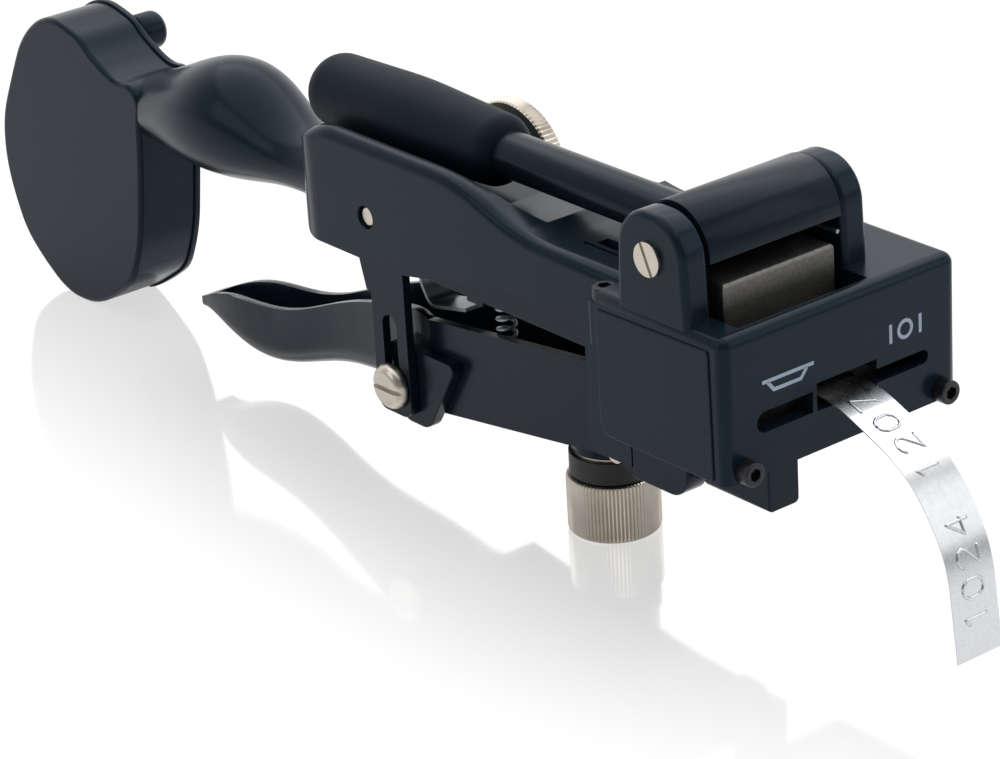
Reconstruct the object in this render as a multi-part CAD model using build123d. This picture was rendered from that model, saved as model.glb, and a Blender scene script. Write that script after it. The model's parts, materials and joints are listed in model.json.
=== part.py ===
from build123d import *
import math
import os

# Hand-held embosser for metal tape. Sizes in millimetres.
# X runs forward to the tape mouth, Y to the user's left, Z up.
# Sizes are laid out from the head: its rear face is the datum for what lies behind,
# y = 0 is its middle and z = 0 the lower edge of its cover.
# The last lines stand the tool on the table.

# Overall stance, clearances and how far cuts run past a face
TABLE_Z = -44.0
HEAD_REAR_X = -36.5
RUN = 0.05
GAP = 0.3
OVER = 1.0
BEYOND = 400.0

# Metal tape
TAPE_WIDTH = 12.0
TAPE_THICK = 0.25
TAPE_Y = 1.75
TAPE_Z = 9.7
TAPE_START_X = -100.0
TAPE_HANG = ((1.0, 0.0), (21.5, -8.5), (31.5, -23.2), (34.25, -44.7))
TAPE_BENDS = (25.0, 30.0, 30.0)
CHANNEL_SIDE = 0.4
CHANNEL_HALF = 0.8

# Head cover
HEAD_LENGTH = 36.5
HEAD_WIDTH = 62.0
HEAD_HEIGHT = 30.3
HEAD_WALL = 3.0
HEAD_ROUND = 2.4
MOUTH_WIDTH = 16.0
MOUTH_BOTTOM = 8.4
MOUTH_TOP = 14.3
MOUTH_SHIFT = 0.9
SIDE_SLOT_LENGTH = 14.6
SIDE_SLOT_INSET = 15.5
NEAR_SLOT_HEIGHT = 4.4
FAR_SLOT_HEIGHT = 3.0
SLOT_MID_Z = 10.7

# Lever hinge on the head
PIVOT_SETBACK = 19.9
PIVOT_RISE = 11.4
EAR_RADIUS = 9.2
EAR_TOP_ROUND = 8.74
EAR_SINK = 1.0
EAR_THICK = 6.5
EAR_ROUND = 1.4
EAR_BASE_LENGTH = 20.4
FAR_EAR_Y = 16.5
PIN_RADIUS = 2.5
PIN_HEAD_RADIUS = 3.55
PIN_HEAD_THICK = 0.9
PIN_SLOT_WIDTH = 0.7
PIN_SLOT_TURN = -25.0
HUB_RADIUS = 9.8
HUB_FLAT_DROP = 0.5
HUB_BACK_DROP = 1.6
HUB_BARREL_RADIUS = 5.0
TORSION_RADIUS = 3.4
TORSION_WIRE = 0.9
TORSION_TURNS = 3
TORSION_LENGTH = 7.0
TORSION_LEG = 10.0
LEVER_DROP = 3.7
ROD_RADIUS = 5.0
ROD_STOP = 1.0
GRIP_RADIUS = 9.0
GRIP_REAR_RADIUS = 8.0
GRIP_FRONT_RADIUS = 7.6
GRIP_FRONT_X = -90.0
GRIP_LENGTH = 63.0
GRIP_REAR_ROUND = 6.5
GRIP_FRONT_ROUND = 4.2
GRIP_CROWN_ROUND = 160.0
GRIP_END_WALL = 7.0

# Ram and its tools
RAM_SETBACK = 9.5
RAM_DEPTH = 9.6
RAM_SIDE_GAP = 2.75
RAM_TOP_GAP = 0.4
RAM_CHAMFER = 0.5
CROSSHEAD_SIDE_GAP = 2.0
CROSSHEAD_LEAD = 1.0
CROSSHEAD_BOTTOM = 18.4
CROSSHEAD_HEIGHT = 6.0
RAM_STROKE = 4.2
BLADE_THICK = 1.8
BLADE_MARGIN = 1.2
TAB_PUNCH_WIDTH = 7.0
TAB_PUNCH_DEPTH = 3.0
TAB_PUNCH_SHIFT = 0.5
HOLE_PUNCH_RADIUS = 1.5
HOLE_PUNCH_SHIFT = 0.9
PUNCH_TIP_Z = 13.2
PUNCH_SETBACK = 5.5
RAM_SPRING_RADIUS = 2.0
RAM_SPRING_WIRE = 0.7
RAM_SPRING_TURNS = 5
RAM_SPRING_INSET = 7.6
SPRING_POCKET_FLOOR = 1.0

# Plates inside the head
PLATE_FIT = 0.1
BASE_Z = 0.8
BASE_THICK = 3.0
DIE_THICK = 5.7
STRIPPER_Z = 12.4
STRIPPER_THICK = 1.6
STRIPPER_RAIL = 1.2
DIE_SETBACK = 8.0
DIE_DEPTH = 22.0

# Body cover
BODY_REAR_X = -149.0
BODY_NEAR_Y = -23.6
BODY_FAR_Y = 16.0
BODY_WALL = 3.0
BODY_BOTTOM_Z = 10.6
ARCH_TOP_Z = 17.0
ARCH_FRONT_X = -75.0
ARCH_REAR_X = -109.0
ARCH_FRONT_ROUND = 20.0
ARCH_REAR_ROUND = 30.0
FOLD_X = -69.0
FOLD_ROUND = 52.0
RAIL_RISE = 7.2
RAIL_WIDTH = 8.6
RAIL_CREST = 3.2
RAIL_EDGE_ROUND = 2.6
RAIL_END_ROUND = 18.0
REAR_FOOT_ROUND = 11.0
RAMP_LENGTH = 20.0
CRADLE_RUN = 19.0
CRADLE_GAP = 0.6
DECK_WALL = 2.5
LEDGE_LENGTH = 5.6
LEDGE_Z = 26.3
LEDGE_FOOT_Z = 17.0
LEDGE_ROUND = 1.2
DECK_SLOT_LENGTH = 10.0
DECK_SLOT_WIDTH = 3.0
DECK_SLOT_X = -50.0
DECK_SLOT_Y = -13.0
DECK_LINE_LENGTH = 14.0
DECK_LINE_WIDTH = 0.8
DECK_LINE_DEPTH = 0.5
PILLAR_REAR_X = -49.3
PILLAR_BOTTOM_Z = -10.0
PILLAR_TOP_ROUND = 2.5
PILLAR_FOOT_ROUND = 3.0
BODY_REAR_ROUND = 12.0

# Frame plates between body and head
FRAME_THICK = 2.5
FRAME_REAR_X = -106.0
FRAME_BOTTOM_Z = 10.2
FRAME_TOP_GAP = 0.9
FRAME_FOOT_Z = -12.0
FRAME_INSET = 1.0
FRAME_REAR_ROUND = 4.0
FRAME_FOOT_ROUND = 3.0
FRAME_TOE_ROUND = 5.0
FAR_PLATE_DROP = 4.0
FAR_PLATE_STEP = 2.0
FAR_PLATE_CLEAR = 1.6
FOOT_SETBACK = 1.0
FOOT_LENGTH = 19.0
FOOT_BOTTOM_Z = -9.7
FOOT_NEAR_Y = -19.4
FOOT_WIDTH = 8.0
FOOT_ROUND = 1.2

# Trigger lever
TRIGGER_X = -43.0
TRIGGER_Z = -9.0
TRIGGER_PIN_RADIUS = 2.5
TRIGGER_PIN_SKIN = 1.0
TRIGGER_BOSS_RADIUS = 6.5
TRIGGER_NEAR_Y = -15.5
TRIGGER_FAR_Y = 9.5
TRIGGER_WALL = 2.0
TRIGGER_FLOOR = 2.5
SPOON_WALL = 1.8
SPOON_ROUND_SHARE = 0.45
SPOON_OPEN_HEIGHT = 12.0
# Spoon from front to tip: x, half width, rim z and belly z
SPOON_STATIONS = (
    (-111.0, 12.5, -2.6, -23.8),
    (-130.0, 9.6, -5.4, -25.6),
    (-148.0, 7.6, -11.0, -27.9),
    (-166.0, 7.0, -18.2, -32.6),
    (-184.0, 7.0, -22.0, -36.9),
    (-197.0, 6.2, -23.8, -34.6),
    (-206.0, 4.6, -27.0, -31.4),
    (-210.5, 3.4, -28.9, -31.6),
)
ARM_TOP_Z = 4.4
ARM_TOP_X = -51.3
ARM_TOP_ROUND = 3.0
ARM_BELLY_X = -59.0
ARM_BELLY_Z = -16.4
ARM_BELLY_ROUND = 12.0
TROUGH_FRONT_X = -52.3
TROUGH_FRONT_RISE = 2.0
TROUGH_ROUND = 2.0

# Depth knob under the trigger
KNOB_X = -73.0
KNOB_RADIUS = 10.0
KNOB_HEIGHT = 13.0
KNOB_RECESS = 3.0
KNOB_CHAMFER = 0.8
KNOB_FLOOR = 4.0
COLLAR_RADIUS = 7.6
COLLAR_FLANGE_RADIUS = 9.2
COLLAR_HEIGHT = 5.4
WASHER_RADIUS = 8.4
WASHER_THICK = 0.6
BOSS_RADIUS = 8.6
BOSS_TOP_Z = -12.8
SCREW_RADIUS = 3.0
SCREW_TIP_Z = 3.2

# Stop bracket and its screw
BRACKET_X = -118.2
BRACKET_WIDTH = 11.6
BRACKET_THICK = 2.0
BRACKET_TOP_Z = 16.5
BRACKET_BOTTOM_Z = -25.0
BRACKET_ROUND = 3.0
WEB_REACH = 4.0
WEB_TOE = 1.5
WEB_RISE = 4.0
STOP_SLOT_WIDTH = 4.8
STOP_SLOT_TOP_Z = -2.2
STOP_SHANK_RADIUS = 1.7
STOP_SCREW_X = -117.9
STOP_SCREW_Z = -18.3
STOP_HEAD_RADIUS = 5.1
STOP_HEAD_THICK = 2.6
STOP_HEAD_ROUND = 2.2
STOP_CUT_DEPTH = 1.0
STOP_CUT_WIDTH = 1.1
LUG_FRONT_X = -109.5
LUG_REAR_X = -119.0
LUG_TOP_FRONT_X = -99.0
LUG_TOP_REAR_X = -122.0
LUG_TOP_Z = -9.4
LUG_BOTTOM_Z = -27.0
LUG_FOOT_ROUND = 4.0
LUG_TOP_ROUND = 1.5

# Trigger return spring
RETURN_SPRING_X = -90.0
RETURN_SPRING_Y = -11.0
RETURN_SPRING_RADIUS = 1.9
RETURN_SPRING_WIRE = 0.8
RETURN_SPRING_TURNS = 11
RETURN_SPRING_FOOT_Z = -17.7
SPRING_SEAT_THICK = 2.0
SPRING_SEAT_REACH = 8.9

# Leaf strip in the gap
LEAF_THICK = 0.8
LEAF_WIDTH = 7.0
LEAF_NEAR_Y = -12.4
LEAF_TOP_X = -112.0
LEAF_BEND_X = -117.0
LEAF_BEND_Z = 4.0
LEAF_FOOT_X = -114.0
LEAF_FOOT_Z = -1.0
LEAF_TIP_X = -102.0
LEAF_TIP_Z = 1.6
LEAF_BENDS = (4.0, 2.5)

# Character wheel
WHEEL_X = -87.0
WHEEL_Y = 10.4
WHEEL_RADIUS = 19.0
WHEEL_AXLE_RADIUS = 1.8
WHEEL_SPACER_RADIUS = 2.4
LOWER_DISC_THICK = 1.5
UPPER_DISC_THICK = 3.0
DISC_CLEAR = 0.4
FINGER_COUNT = 32
FINGER_SLIT = 0.6
FINGER_LENGTH = 6.0
WHEEL_WINDOW_GAP = 1.5
WHEEL_AXLE_DROP = 2.0
CARRIER_LENGTH = 12.0
ANVIL_LENGTH = 8.0
ANVIL_WIDTH = 9.0
ANVIL_TRIM = 1.0

# Feed knob, roller and idler
FEED_X = -120.0
FEED_Z = 20.6
FEED_KNOB_RADIUS = 15.0
FEED_KNOB_THICK = 3.8
FEED_KNOB_CHAMFER = 0.5
FEED_KNOB_CAP = 1.0
FEED_AXLE_RADIUS = 2.0
FEED_ROLLER_RADIUS = 4.2
IDLER_RADIUS = 3.0
IDLER_AXLE_RADIUS = 1.5
ROLLER_MARGIN = 0.7
AXLE_RECESS_RADIUS = 2.6
AXLE_RECESS_DEPTH = 1.2
AXLE_END_SINK = 0.72

# Handle
HANDLE_Y = 0.75
NECK_Z = 14.5
# Handle from rear to front: x, half width, half height and middle z
HANDLE_STATIONS = (
    (-240.0, 8.0, 7.4, 10.2),
    (-228.0, 8.6, 8.6, 12.2),
    (-216.0, 11.6, 11.4, 14.2),
    (-204.0, 13.6, 13.8, 16.2),
    (-192.0, 12.9, 13.0, 16.5),
    (-180.0, 10.2, 9.0, 14.5),
    (-168.0, 9.0, 6.9, 13.3),
    (-156.0, 9.4, 7.1, 13.8),
    (-144.0, 10.0, 7.5, 14.5),
)

# Magazine
MAG_NEAR_Y = -7.5
MAG_DEPTH = 15.6
MAG_WALL = 2.0
MAG_EDGE_ROUND = 1.2
MAG_SOLE = 0.6
POST_SEAT = 3.0
SPINDLE_SEAT = 0.5
# Magazine outline in the side view, from the neck round the top and back: x and z
MAG_POINTS = (
    (-229.6, 16.6), (-239.5, 18.6), (-246.3, 21.6), (-253.6, 26.0), (-265.5, 27.2), (-276.2, 20.8),
    (-284.2, 8.4), (-290.2, -6.0), (-289.4, -21.0), (-281.6, -35.4), (-262.5, TABLE_Z - MAG_SOLE),
    (-241.2, -35.4), (-234.4, -24.5), (-231.0, -8.0), (-229.4, 7.0),
)
LID_THICK = 1.5
LID_PROUD = 0.6
REEL_X = -262.0
REEL_Z = -10.0
REEL_RADIUS = 23.0
REEL_CORE_RADIUS = 11.0
SPINDLE_RADIUS = 4.0
LID_POST_X = -253.0
LID_POST_Z = 21.6
LID_POST_RADIUS = 4.6
LID_POST_HEIGHT = 7.0
LID_POST_ROUND = 2.2
LID_POST_SHANK = 1.8
LID_BOSS_RADIUS = 3.0

# Socket cap screws
CAP_HEAD_RADIUS = 2.5
CAP_HEAD_HEIGHT = 3.0
CAP_HEAD_ROUND = 0.4
CAP_SHANK_RADIUS = 1.5
CAP_SHANK_LENGTH = 8.0
CAP_SOCKET_RADIUS = 1.4
CAP_SOCKET_DEPTH = 1.6
FRONT_CAP_INSET = 4.8

# Values worked out from the sizes above
HEAD_HALF = HEAD_WIDTH / 2
HEAD_FRONT_X = HEAD_REAR_X + HEAD_LENGTH
PLATE_HALF = HEAD_HALF - HEAD_WALL - PLATE_FIT
PIVOT_X = HEAD_FRONT_X - PIVOT_SETBACK
PIVOT_Z = HEAD_HEIGHT + PIVOT_RISE
RAIL_TOP_Z = HEAD_HEIGHT + RAIL_RISE
LEVER_Z = PIVOT_Z - LEVER_DROP
NEAR_EAR_IN = -HEAD_HALF + EAR_THICK
FAR_EAR_IN = FAR_EAR_Y - EAR_THICK
HINGE_Y = (NEAR_EAR_IN + FAR_EAR_IN) / 2
RAM_FRONT_X = HEAD_FRONT_X - RAM_SETBACK
RAM_REAR_X = RAM_FRONT_X - RAM_DEPTH
RAM_TOP_Z = PIVOT_Z - HUB_BARREL_RADIUS - RAM_TOP_GAP
CROSSHEAD_HALF = HEAD_HALF - HEAD_WALL - CROSSHEAD_SIDE_GAP
CROSSHEAD_TOP = CROSSHEAD_BOTTOM + CROSSHEAD_HEIGHT
DIE_FRONT_X = HEAD_FRONT_X - DIE_SETBACK
CROSSHEAD_FRONT_X = DIE_FRONT_X + CROSSHEAD_LEAD
PUNCH_X = DIE_FRONT_X - PUNCH_SETBACK
RAM_SPRING_Y = HEAD_HALF - RAM_SPRING_INSET
SIDE_SLOT_MID_Y = HEAD_HALF - SIDE_SLOT_INSET
TAB_PUNCH_Y = TAB_PUNCH_SHIFT - SIDE_SLOT_MID_Y
HOLE_PUNCH_Y = SIDE_SLOT_MID_Y + HOLE_PUNCH_SHIFT
FRONT_CAP_Y = HEAD_HALF - FRONT_CAP_INSET
DIE_Z = BASE_Z + BASE_THICK
DIE_TOP = DIE_Z + DIE_THICK
CRADLE_Z = LEVER_Z - GRIP_RADIUS - CRADLE_GAP
CEILING_Z = CRADLE_Z - DECK_WALL
FRAME_TOP_Z = CEILING_Z - FRAME_TOP_GAP
FOOT_FRONT_X = HEAD_FRONT_X - FOOT_SETBACK
FOOT_REAR_X = FOOT_FRONT_X - FOOT_LENGTH
LEDGE_REACH = 2 * CAP_HEAD_RADIUS + 2 * RUN
IN_NEAR_Y = BODY_NEAR_Y + BODY_WALL
IN_FAR_Y = BODY_FAR_Y - BODY_WALL
FRAME_NEAR_IN = IN_NEAR_Y + FRAME_THICK
FRAME_FAR_IN = IN_FAR_Y - FRAME_THICK
TRIGGER_MID_Y = (TRIGGER_NEAR_Y + TRIGGER_FAR_Y) / 2
LOWER_DISC_TOP = TAPE_Z - DISC_CLEAR
LOWER_DISC_Z = LOWER_DISC_TOP - LOWER_DISC_THICK
UPPER_DISC_Z = TAPE_Z + TAPE_THICK + DISC_CLEAR
UPPER_DISC_TOP = UPPER_DISC_Z + UPPER_DISC_THICK
KNOB_TOP_Z = TABLE_Z + KNOB_HEIGHT
COLLAR_TOP_Z = KNOB_TOP_Z + COLLAR_HEIGHT
WASHER_TOP_Z = COLLAR_TOP_Z + WASHER_THICK
GRIP_REAR_X = GRIP_FRONT_X - GRIP_LENGTH
ROD_FRONT_X = PIVOT_X - PIN_RADIUS - ROD_STOP
FEED_AXLE_FAR_Y = BODY_FAR_Y + GAP + FEED_KNOB_THICK - FEED_KNOB_CAP
IDLER_Z = FEED_Z - FEED_ROLLER_RADIUS - GAP - IDLER_RADIUS
MAG_FAR_Y = MAG_NEAR_Y + MAG_DEPTH
LID_FAR_Y = MAG_FAR_Y + LID_THICK
CAP_Z = BASE_Z + BASE_THICK / 2
TAPE_EDGE = TAPE_WIDTH / 2


def block(x0, x1, y0, y1, z0, z1):
    return Pos((x0 + x1) / 2, (y0 + y1) / 2, (z0 + z1) / 2) * Box(abs(x1 - x0), abs(y1 - y0), abs(z1 - z0))


def rod_x(x0, x1, y, z, radius):
    return Pos((x0 + x1) / 2, y, z) * Rot(0, 90, 0) * Cylinder(radius, abs(x1 - x0))


def rod_y(x, y0, y1, z, radius):
    return Pos(x, (y0 + y1) / 2, z) * Rot(90, 0, 0) * Cylinder(radius, abs(y1 - y0))


def rod_z(x, y, z0, z1, radius):
    return Pos(x, y, (z0 + z1) / 2) * Cylinder(radius, abs(z1 - z0))


def side_face(points, radii, y):
    """Face in the side view, from corner points and the round at each corner."""
    corners = [(x, y, z) for x, z in points]
    return make_face(FilletPolyline(*corners, radius=radii, close=True))


def side_plate(points, radii, y0, y1):
    return extrude(side_face(points, radii, y0), amount=y1 - y0, dir=(0, 1, 0))


def bend_arcs(start, start_way, end, end_way):
    """Two tangent arcs from one point and heading to another."""
    span = end - start
    turn = 2 * (1 - start_way.dot(end_way))
    along = span.dot(start_way + end_way)
    reach = (math.sqrt(along ** 2 + turn * span.dot(span)) - along) / turn
    middle = (start + end + (start_way - end_way) * reach) / 2
    middle_way = end - end_way * reach - start - start_way * reach
    return [TangentArc(start, middle, tangent=start_way), TangentArc(middle, end, tangent=middle_way)]


def smooth_face(points, y):
    """Face in the side view, bounded by tangent arcs through all the points."""
    spots = [Vector(x, y, z) for x, z in points]
    ways = []
    for index in range(len(spots)):
        ahead = spots[(index + 1) % len(spots)]
        ways.append((ahead - spots[index - 1]).normalized())
    arcs = []
    for index in range(len(spots)):
        arcs += bend_arcs(spots[index - 1], ways[index - 1], spots[index], ways[index])
    return make_face(arcs)


def coil_arcs(radius, rise, turns, hand):
    """Arcs of a helix about Z, two for each half turn."""
    spots = []
    ways = []
    for half in range(2 * turns + 1):
        side = (-1) ** half
        spots.append(Vector(side * radius, 0, rise * half / 2))
        ways.append(Vector(0, side * hand, rise / (2 * math.pi * radius)).normalized())
    arcs = []
    for half in range(2 * turns):
        arcs += bend_arcs(spots[half], ways[half], spots[half + 1], ways[half + 1])
    return arcs


def least_gap(path, turns, wire):
    """Smallest space between one turn of a wire and the next, measured on points."""
    per_turn = 24
    spots = [path @ (index / (per_turn * turns)) for index in range(per_turn * turns + 1)]
    apart = []
    for index, spot in enumerate(spots):
        apart += [(other - spot).length for other in spots[index + per_turn // 2:]]
    return min(apart) - wire


def wire_along(path, wire):
    return sweep(Plane(path @ 0, z_dir=path % 0) * Circle(wire / 2), path=path)


def coil(x, y, z0, z1, radius, wire, turns):
    rise = (z1 - z0 - wire) / turns
    path = Wire(coil_arcs(radius, rise, turns, 1))
    print(f"coil at x {x:.1f}, y {y:.1f}: {turns} turns, least gap {least_gap(path, turns, wire):.2f} mm")
    return Pos(x, y, z0 + wire / 2) * wire_along(path, wire)


def ear(y0, y1):
    """Hinge ear: a round top over a wider foot."""
    half = EAR_BASE_LENGTH / 2
    points = [
        (PIVOT_X - half, HEAD_HEIGHT - EAR_SINK), (PIVOT_X + half, HEAD_HEIGHT - EAR_SINK),
        (PIVOT_X + EAR_RADIUS, PIVOT_Z + EAR_RADIUS), (PIVOT_X - EAR_RADIUS, PIVOT_Z + EAR_RADIUS),
    ]
    solid = side_plate(points, [0, 0, EAR_TOP_ROUND, EAR_TOP_ROUND], y0, y1)
    rim = [e for e in solid.edges() if e.center().Z > HEAD_HEIGHT + EAR_SINK]
    rim = [e for e in rim if abs((e @ 0).Y - (e @ 1).Y) < RUN]
    return fillet(rim, EAR_ROUND)


def slot_cut(mid_y, length, height):
    """Slot through the front wall with a round outer end."""
    end_y = mid_y + math.copysign(length / 2 - height / 2, mid_y)
    inner_y = mid_y - math.copysign(length / 2, mid_y)
    low = SLOT_MID_Z - height / 2
    back_x = HEAD_FRONT_X - 2 * HEAD_WALL
    cut = block(back_x, HEAD_FRONT_X + OVER, inner_y, end_y, low, low + height)
    return cut + rod_x(back_x, HEAD_FRONT_X + OVER, end_y, SLOT_MID_Z, height / 2)


def head_cover():
    shell = block(HEAD_REAR_X, HEAD_FRONT_X, -HEAD_HALF, HEAD_HALF, 0, HEAD_HEIGHT)
    outer = [e for e in shell.edges() if e.center().Z > OVER and e.center().X > HEAD_REAR_X + OVER]
    shell = fillet(outer, HEAD_ROUND)
    back_x = HEAD_FRONT_X - HEAD_WALL
    shell -= block(
        HEAD_REAR_X + HEAD_WALL, back_x, -HEAD_HALF + HEAD_WALL, HEAD_HALF - HEAD_WALL,
        -OVER, HEAD_HEIGHT - HEAD_WALL,
    )
    shell += ear(-HEAD_HALF, NEAR_EAR_IN) + ear(FAR_EAR_IN, FAR_EAR_Y)
    shell -= rod_y(PIVOT_X, -HEAD_WIDTH, HEAD_WIDTH, PIVOT_Z, PIN_RADIUS + RUN)
    shell -= block(
        RAM_REAR_X - 2 * GAP, back_x, NEAR_EAR_IN + GAP, FAR_EAR_IN - GAP,
        HEAD_HEIGHT - 2 * HEAD_WALL, HEAD_HEIGHT + OVER,
    )
    mouth_near = TAPE_Y - MOUTH_SHIFT - MOUTH_WIDTH / 2
    shell -= block(
        back_x - OVER, HEAD_FRONT_X + OVER, mouth_near, mouth_near + MOUTH_WIDTH, MOUTH_BOTTOM, MOUTH_TOP,
    )
    shell -= slot_cut(-SIDE_SLOT_MID_Y, SIDE_SLOT_LENGTH, NEAR_SLOT_HEIGHT)
    shell -= slot_cut(SIDE_SLOT_MID_Y, SIDE_SLOT_LENGTH, FAR_SLOT_HEIGHT)
    shell -= block(
        HEAD_REAR_X - OVER, HEAD_REAR_X + 2 * HEAD_WALL, IN_NEAR_Y, IN_FAR_Y, -OVER, HEAD_HEIGHT / 2,
    )
    for side in (-1, 1):
        shell -= rod_x(
            back_x - OVER, HEAD_FRONT_X + OVER, side * FRONT_CAP_Y, CAP_Z, CAP_SHANK_RADIUS + RUN)
    return shell


def base_plate():
    plate = block(
        HEAD_REAR_X + HEAD_WALL + PLATE_FIT, HEAD_FRONT_X - HEAD_WALL - PLATE_FIT, -PLATE_HALF, PLATE_HALF,
        BASE_Z, BASE_Z + BASE_THICK,
    )
    for side in (-1, 1):
        plate -= rod_x(
            HEAD_FRONT_X - CAP_SHANK_LENGTH - GAP, HEAD_FRONT_X, side * FRONT_CAP_Y, CAP_Z,
            CAP_SHANK_RADIUS + RUN)
    return plate


def punch_cuts(z0, z1):
    """Room for the two punches in the plates under the ram."""
    cut = rod_z(PUNCH_X, HOLE_PUNCH_Y, z0, z1, HOLE_PUNCH_RADIUS + RUN)
    half_x = TAB_PUNCH_DEPTH / 2 + RUN
    half_y = TAB_PUNCH_WIDTH / 2 + RUN
    return cut + block(
        PUNCH_X - half_x, PUNCH_X + half_x, TAB_PUNCH_Y - half_y, TAB_PUNCH_Y + half_y, z0, z1)


def spring_cuts(z0, z1):
    radius = RAM_SPRING_RADIUS + RAM_SPRING_WIRE / 2 + GAP
    return rod_z(PUNCH_X, -RAM_SPRING_Y, z0, z1, radius) + rod_z(PUNCH_X, RAM_SPRING_Y, z0, z1, radius)


def head_plate(z0, z1):
    return block(DIE_FRONT_X - DIE_DEPTH, DIE_FRONT_X, -PLATE_HALF, PLATE_HALF, z0, z1)


def die_block():
    plate = head_plate(DIE_Z, DIE_TOP) - punch_cuts(DIE_Z, DIE_TOP + OVER)
    return plate - spring_cuts(DIE_Z + SPRING_POCKET_FLOOR, DIE_TOP + OVER)


def stripper_plate():
    """Plate over the tape, carried on two side rails that stand on the die block."""
    top = STRIPPER_Z + STRIPPER_THICK
    plate = head_plate(STRIPPER_Z, top)
    for side in (-1, 1):
        plate += block(
            DIE_FRONT_X - DIE_DEPTH, DIE_FRONT_X, side * (PLATE_HALF - STRIPPER_RAIL), side * PLATE_HALF,
            DIE_TOP, top,
        )
    return plate - punch_cuts(STRIPPER_Z - OVER, top + OVER) - spring_cuts(DIE_TOP, top + OVER)


def ram():
    near_y = NEAR_EAR_IN + RAM_SIDE_GAP
    far_y = FAR_EAR_IN - RAM_SIDE_GAP
    upper = block(RAM_REAR_X, RAM_FRONT_X, near_y, far_y, CROSSHEAD_BOTTOM, RAM_TOP_Z)
    upper = chamfer(upper.edges().group_by(Axis.Z)[-1], RAM_CHAMFER)
    return upper + block(
        RAM_REAR_X, CROSSHEAD_FRONT_X, -CROSSHEAD_HALF, CROSSHEAD_HALF, CROSSHEAD_BOTTOM, CROSSHEAD_TOP)


def cutter_blade():
    half = TAPE_EDGE + BLADE_MARGIN
    tip_z = TAPE_Z + TAPE_THICK + RAM_STROKE + GAP
    back_x = CROSSHEAD_FRONT_X
    front_x = back_x + BLADE_THICK
    outline = [
        (back_x, tip_z), (front_x, tip_z + BLADE_THICK), (front_x, CROSSHEAD_TOP), (back_x, CROSSHEAD_TOP),
    ]
    return side_plate(outline, [0, 0, 0, 0], TAPE_Y - half, TAPE_Y + half)


def tab_punch():
    half_x = TAB_PUNCH_DEPTH / 2
    half_y = TAB_PUNCH_WIDTH / 2
    return block(
        PUNCH_X - half_x, PUNCH_X + half_x, TAB_PUNCH_Y - half_y, TAB_PUNCH_Y + half_y,
        PUNCH_TIP_Z, CROSSHEAD_BOTTOM)


def hole_punch():
    return rod_z(PUNCH_X, HOLE_PUNCH_Y, PUNCH_TIP_Z, CROSSHEAD_BOTTOM, HOLE_PUNCH_RADIUS)


def ram_springs():
    coils = []
    for side in (-1, 1):
        coils.append(coil(
            PUNCH_X, side * RAM_SPRING_Y, DIE_Z + SPRING_POCKET_FLOOR, CROSSHEAD_BOTTOM, RAM_SPRING_RADIUS,
            RAM_SPRING_WIRE, RAM_SPRING_TURNS))
    return Compound(coils)


def hinge_pin():
    pin = rod_y(PIVOT_X, -HEAD_HALF, FAR_EAR_Y, PIVOT_Z, PIN_RADIUS)
    head = rod_y(PIVOT_X, -HEAD_HALF - PIN_HEAD_THICK, -HEAD_HALF, PIVOT_Z, PIN_HEAD_RADIUS)
    slot = Pos(PIVOT_X, -HEAD_HALF - PIN_HEAD_THICK, PIVOT_Z) * Rot(0, PIN_SLOT_TURN, 0) * Box(
        PIN_SLOT_WIDTH, PIN_HEAD_THICK, 3 * PIN_HEAD_RADIUS)
    return pin + (head - slot)


def lever_hub():
    """Cam hub: its front lower quarter is cut away, and the corner drives the ram."""
    y0 = NEAR_EAR_IN + GAP
    y1 = FAR_EAR_IN - GAP
    hub = rod_y(PIVOT_X, y0, y1, PIVOT_Z, HUB_RADIUS)
    corner = block(
        PIVOT_X - HUB_BACK_DROP, PIVOT_X + 2 * HUB_RADIUS, y0 - OVER, y1 + OVER,
        PIVOT_Z - 2 * HUB_RADIUS, PIVOT_Z - HUB_FLAT_DROP,
    )
    hub -= corner - rod_y(PIVOT_X, y0, y1 - TORSION_LENGTH, PIVOT_Z, HUB_BARREL_RADIUS)
    hub -= rod_y(PIVOT_X, y0 - OVER, y1 + OVER, PIVOT_Z, PIN_RADIUS + RUN)
    hub -= rod_x(PIVOT_X - 2 * HUB_RADIUS, ROD_FRONT_X, HINGE_Y, LEVER_Z, ROD_RADIUS)
    pocket = TORSION_RADIUS + TORSION_WIRE
    return hub - rod_y(PIVOT_X, y1 - TORSION_LENGTH, y1 + OVER, PIVOT_Z, pocket)


def torsion_spring():
    """Turns round the hinge pin, with one leg that reaches out over the ram."""
    rise = (TORSION_LENGTH - 3 * TORSION_WIRE) / TORSION_TURNS
    turns = coil_arcs(TORSION_RADIUS, rise, TORSION_TURNS, -1)
    print(f"torsion spring: least gap {least_gap(Wire(turns), TORSION_TURNS, TORSION_WIRE):.2f} mm")
    leg = Line(turns[-1] @ 1, turns[-1] @ 1 + (turns[-1] % 1) * TORSION_LEG)
    turned = Rot(0, 90, 0) * Rot(-90, 0, 0) * wire_along(Wire(turns + [leg]), TORSION_WIRE)
    far_y = FAR_EAR_IN - GAP - 2 * TORSION_WIRE
    return Pos(PIVOT_X, far_y - rise * TORSION_TURNS, PIVOT_Z) * turned


def lever_rod():
    return rod_x(GRIP_REAR_X + GRIP_END_WALL, ROD_FRONT_X, HINGE_Y, LEVER_Z, ROD_RADIUS)


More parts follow.
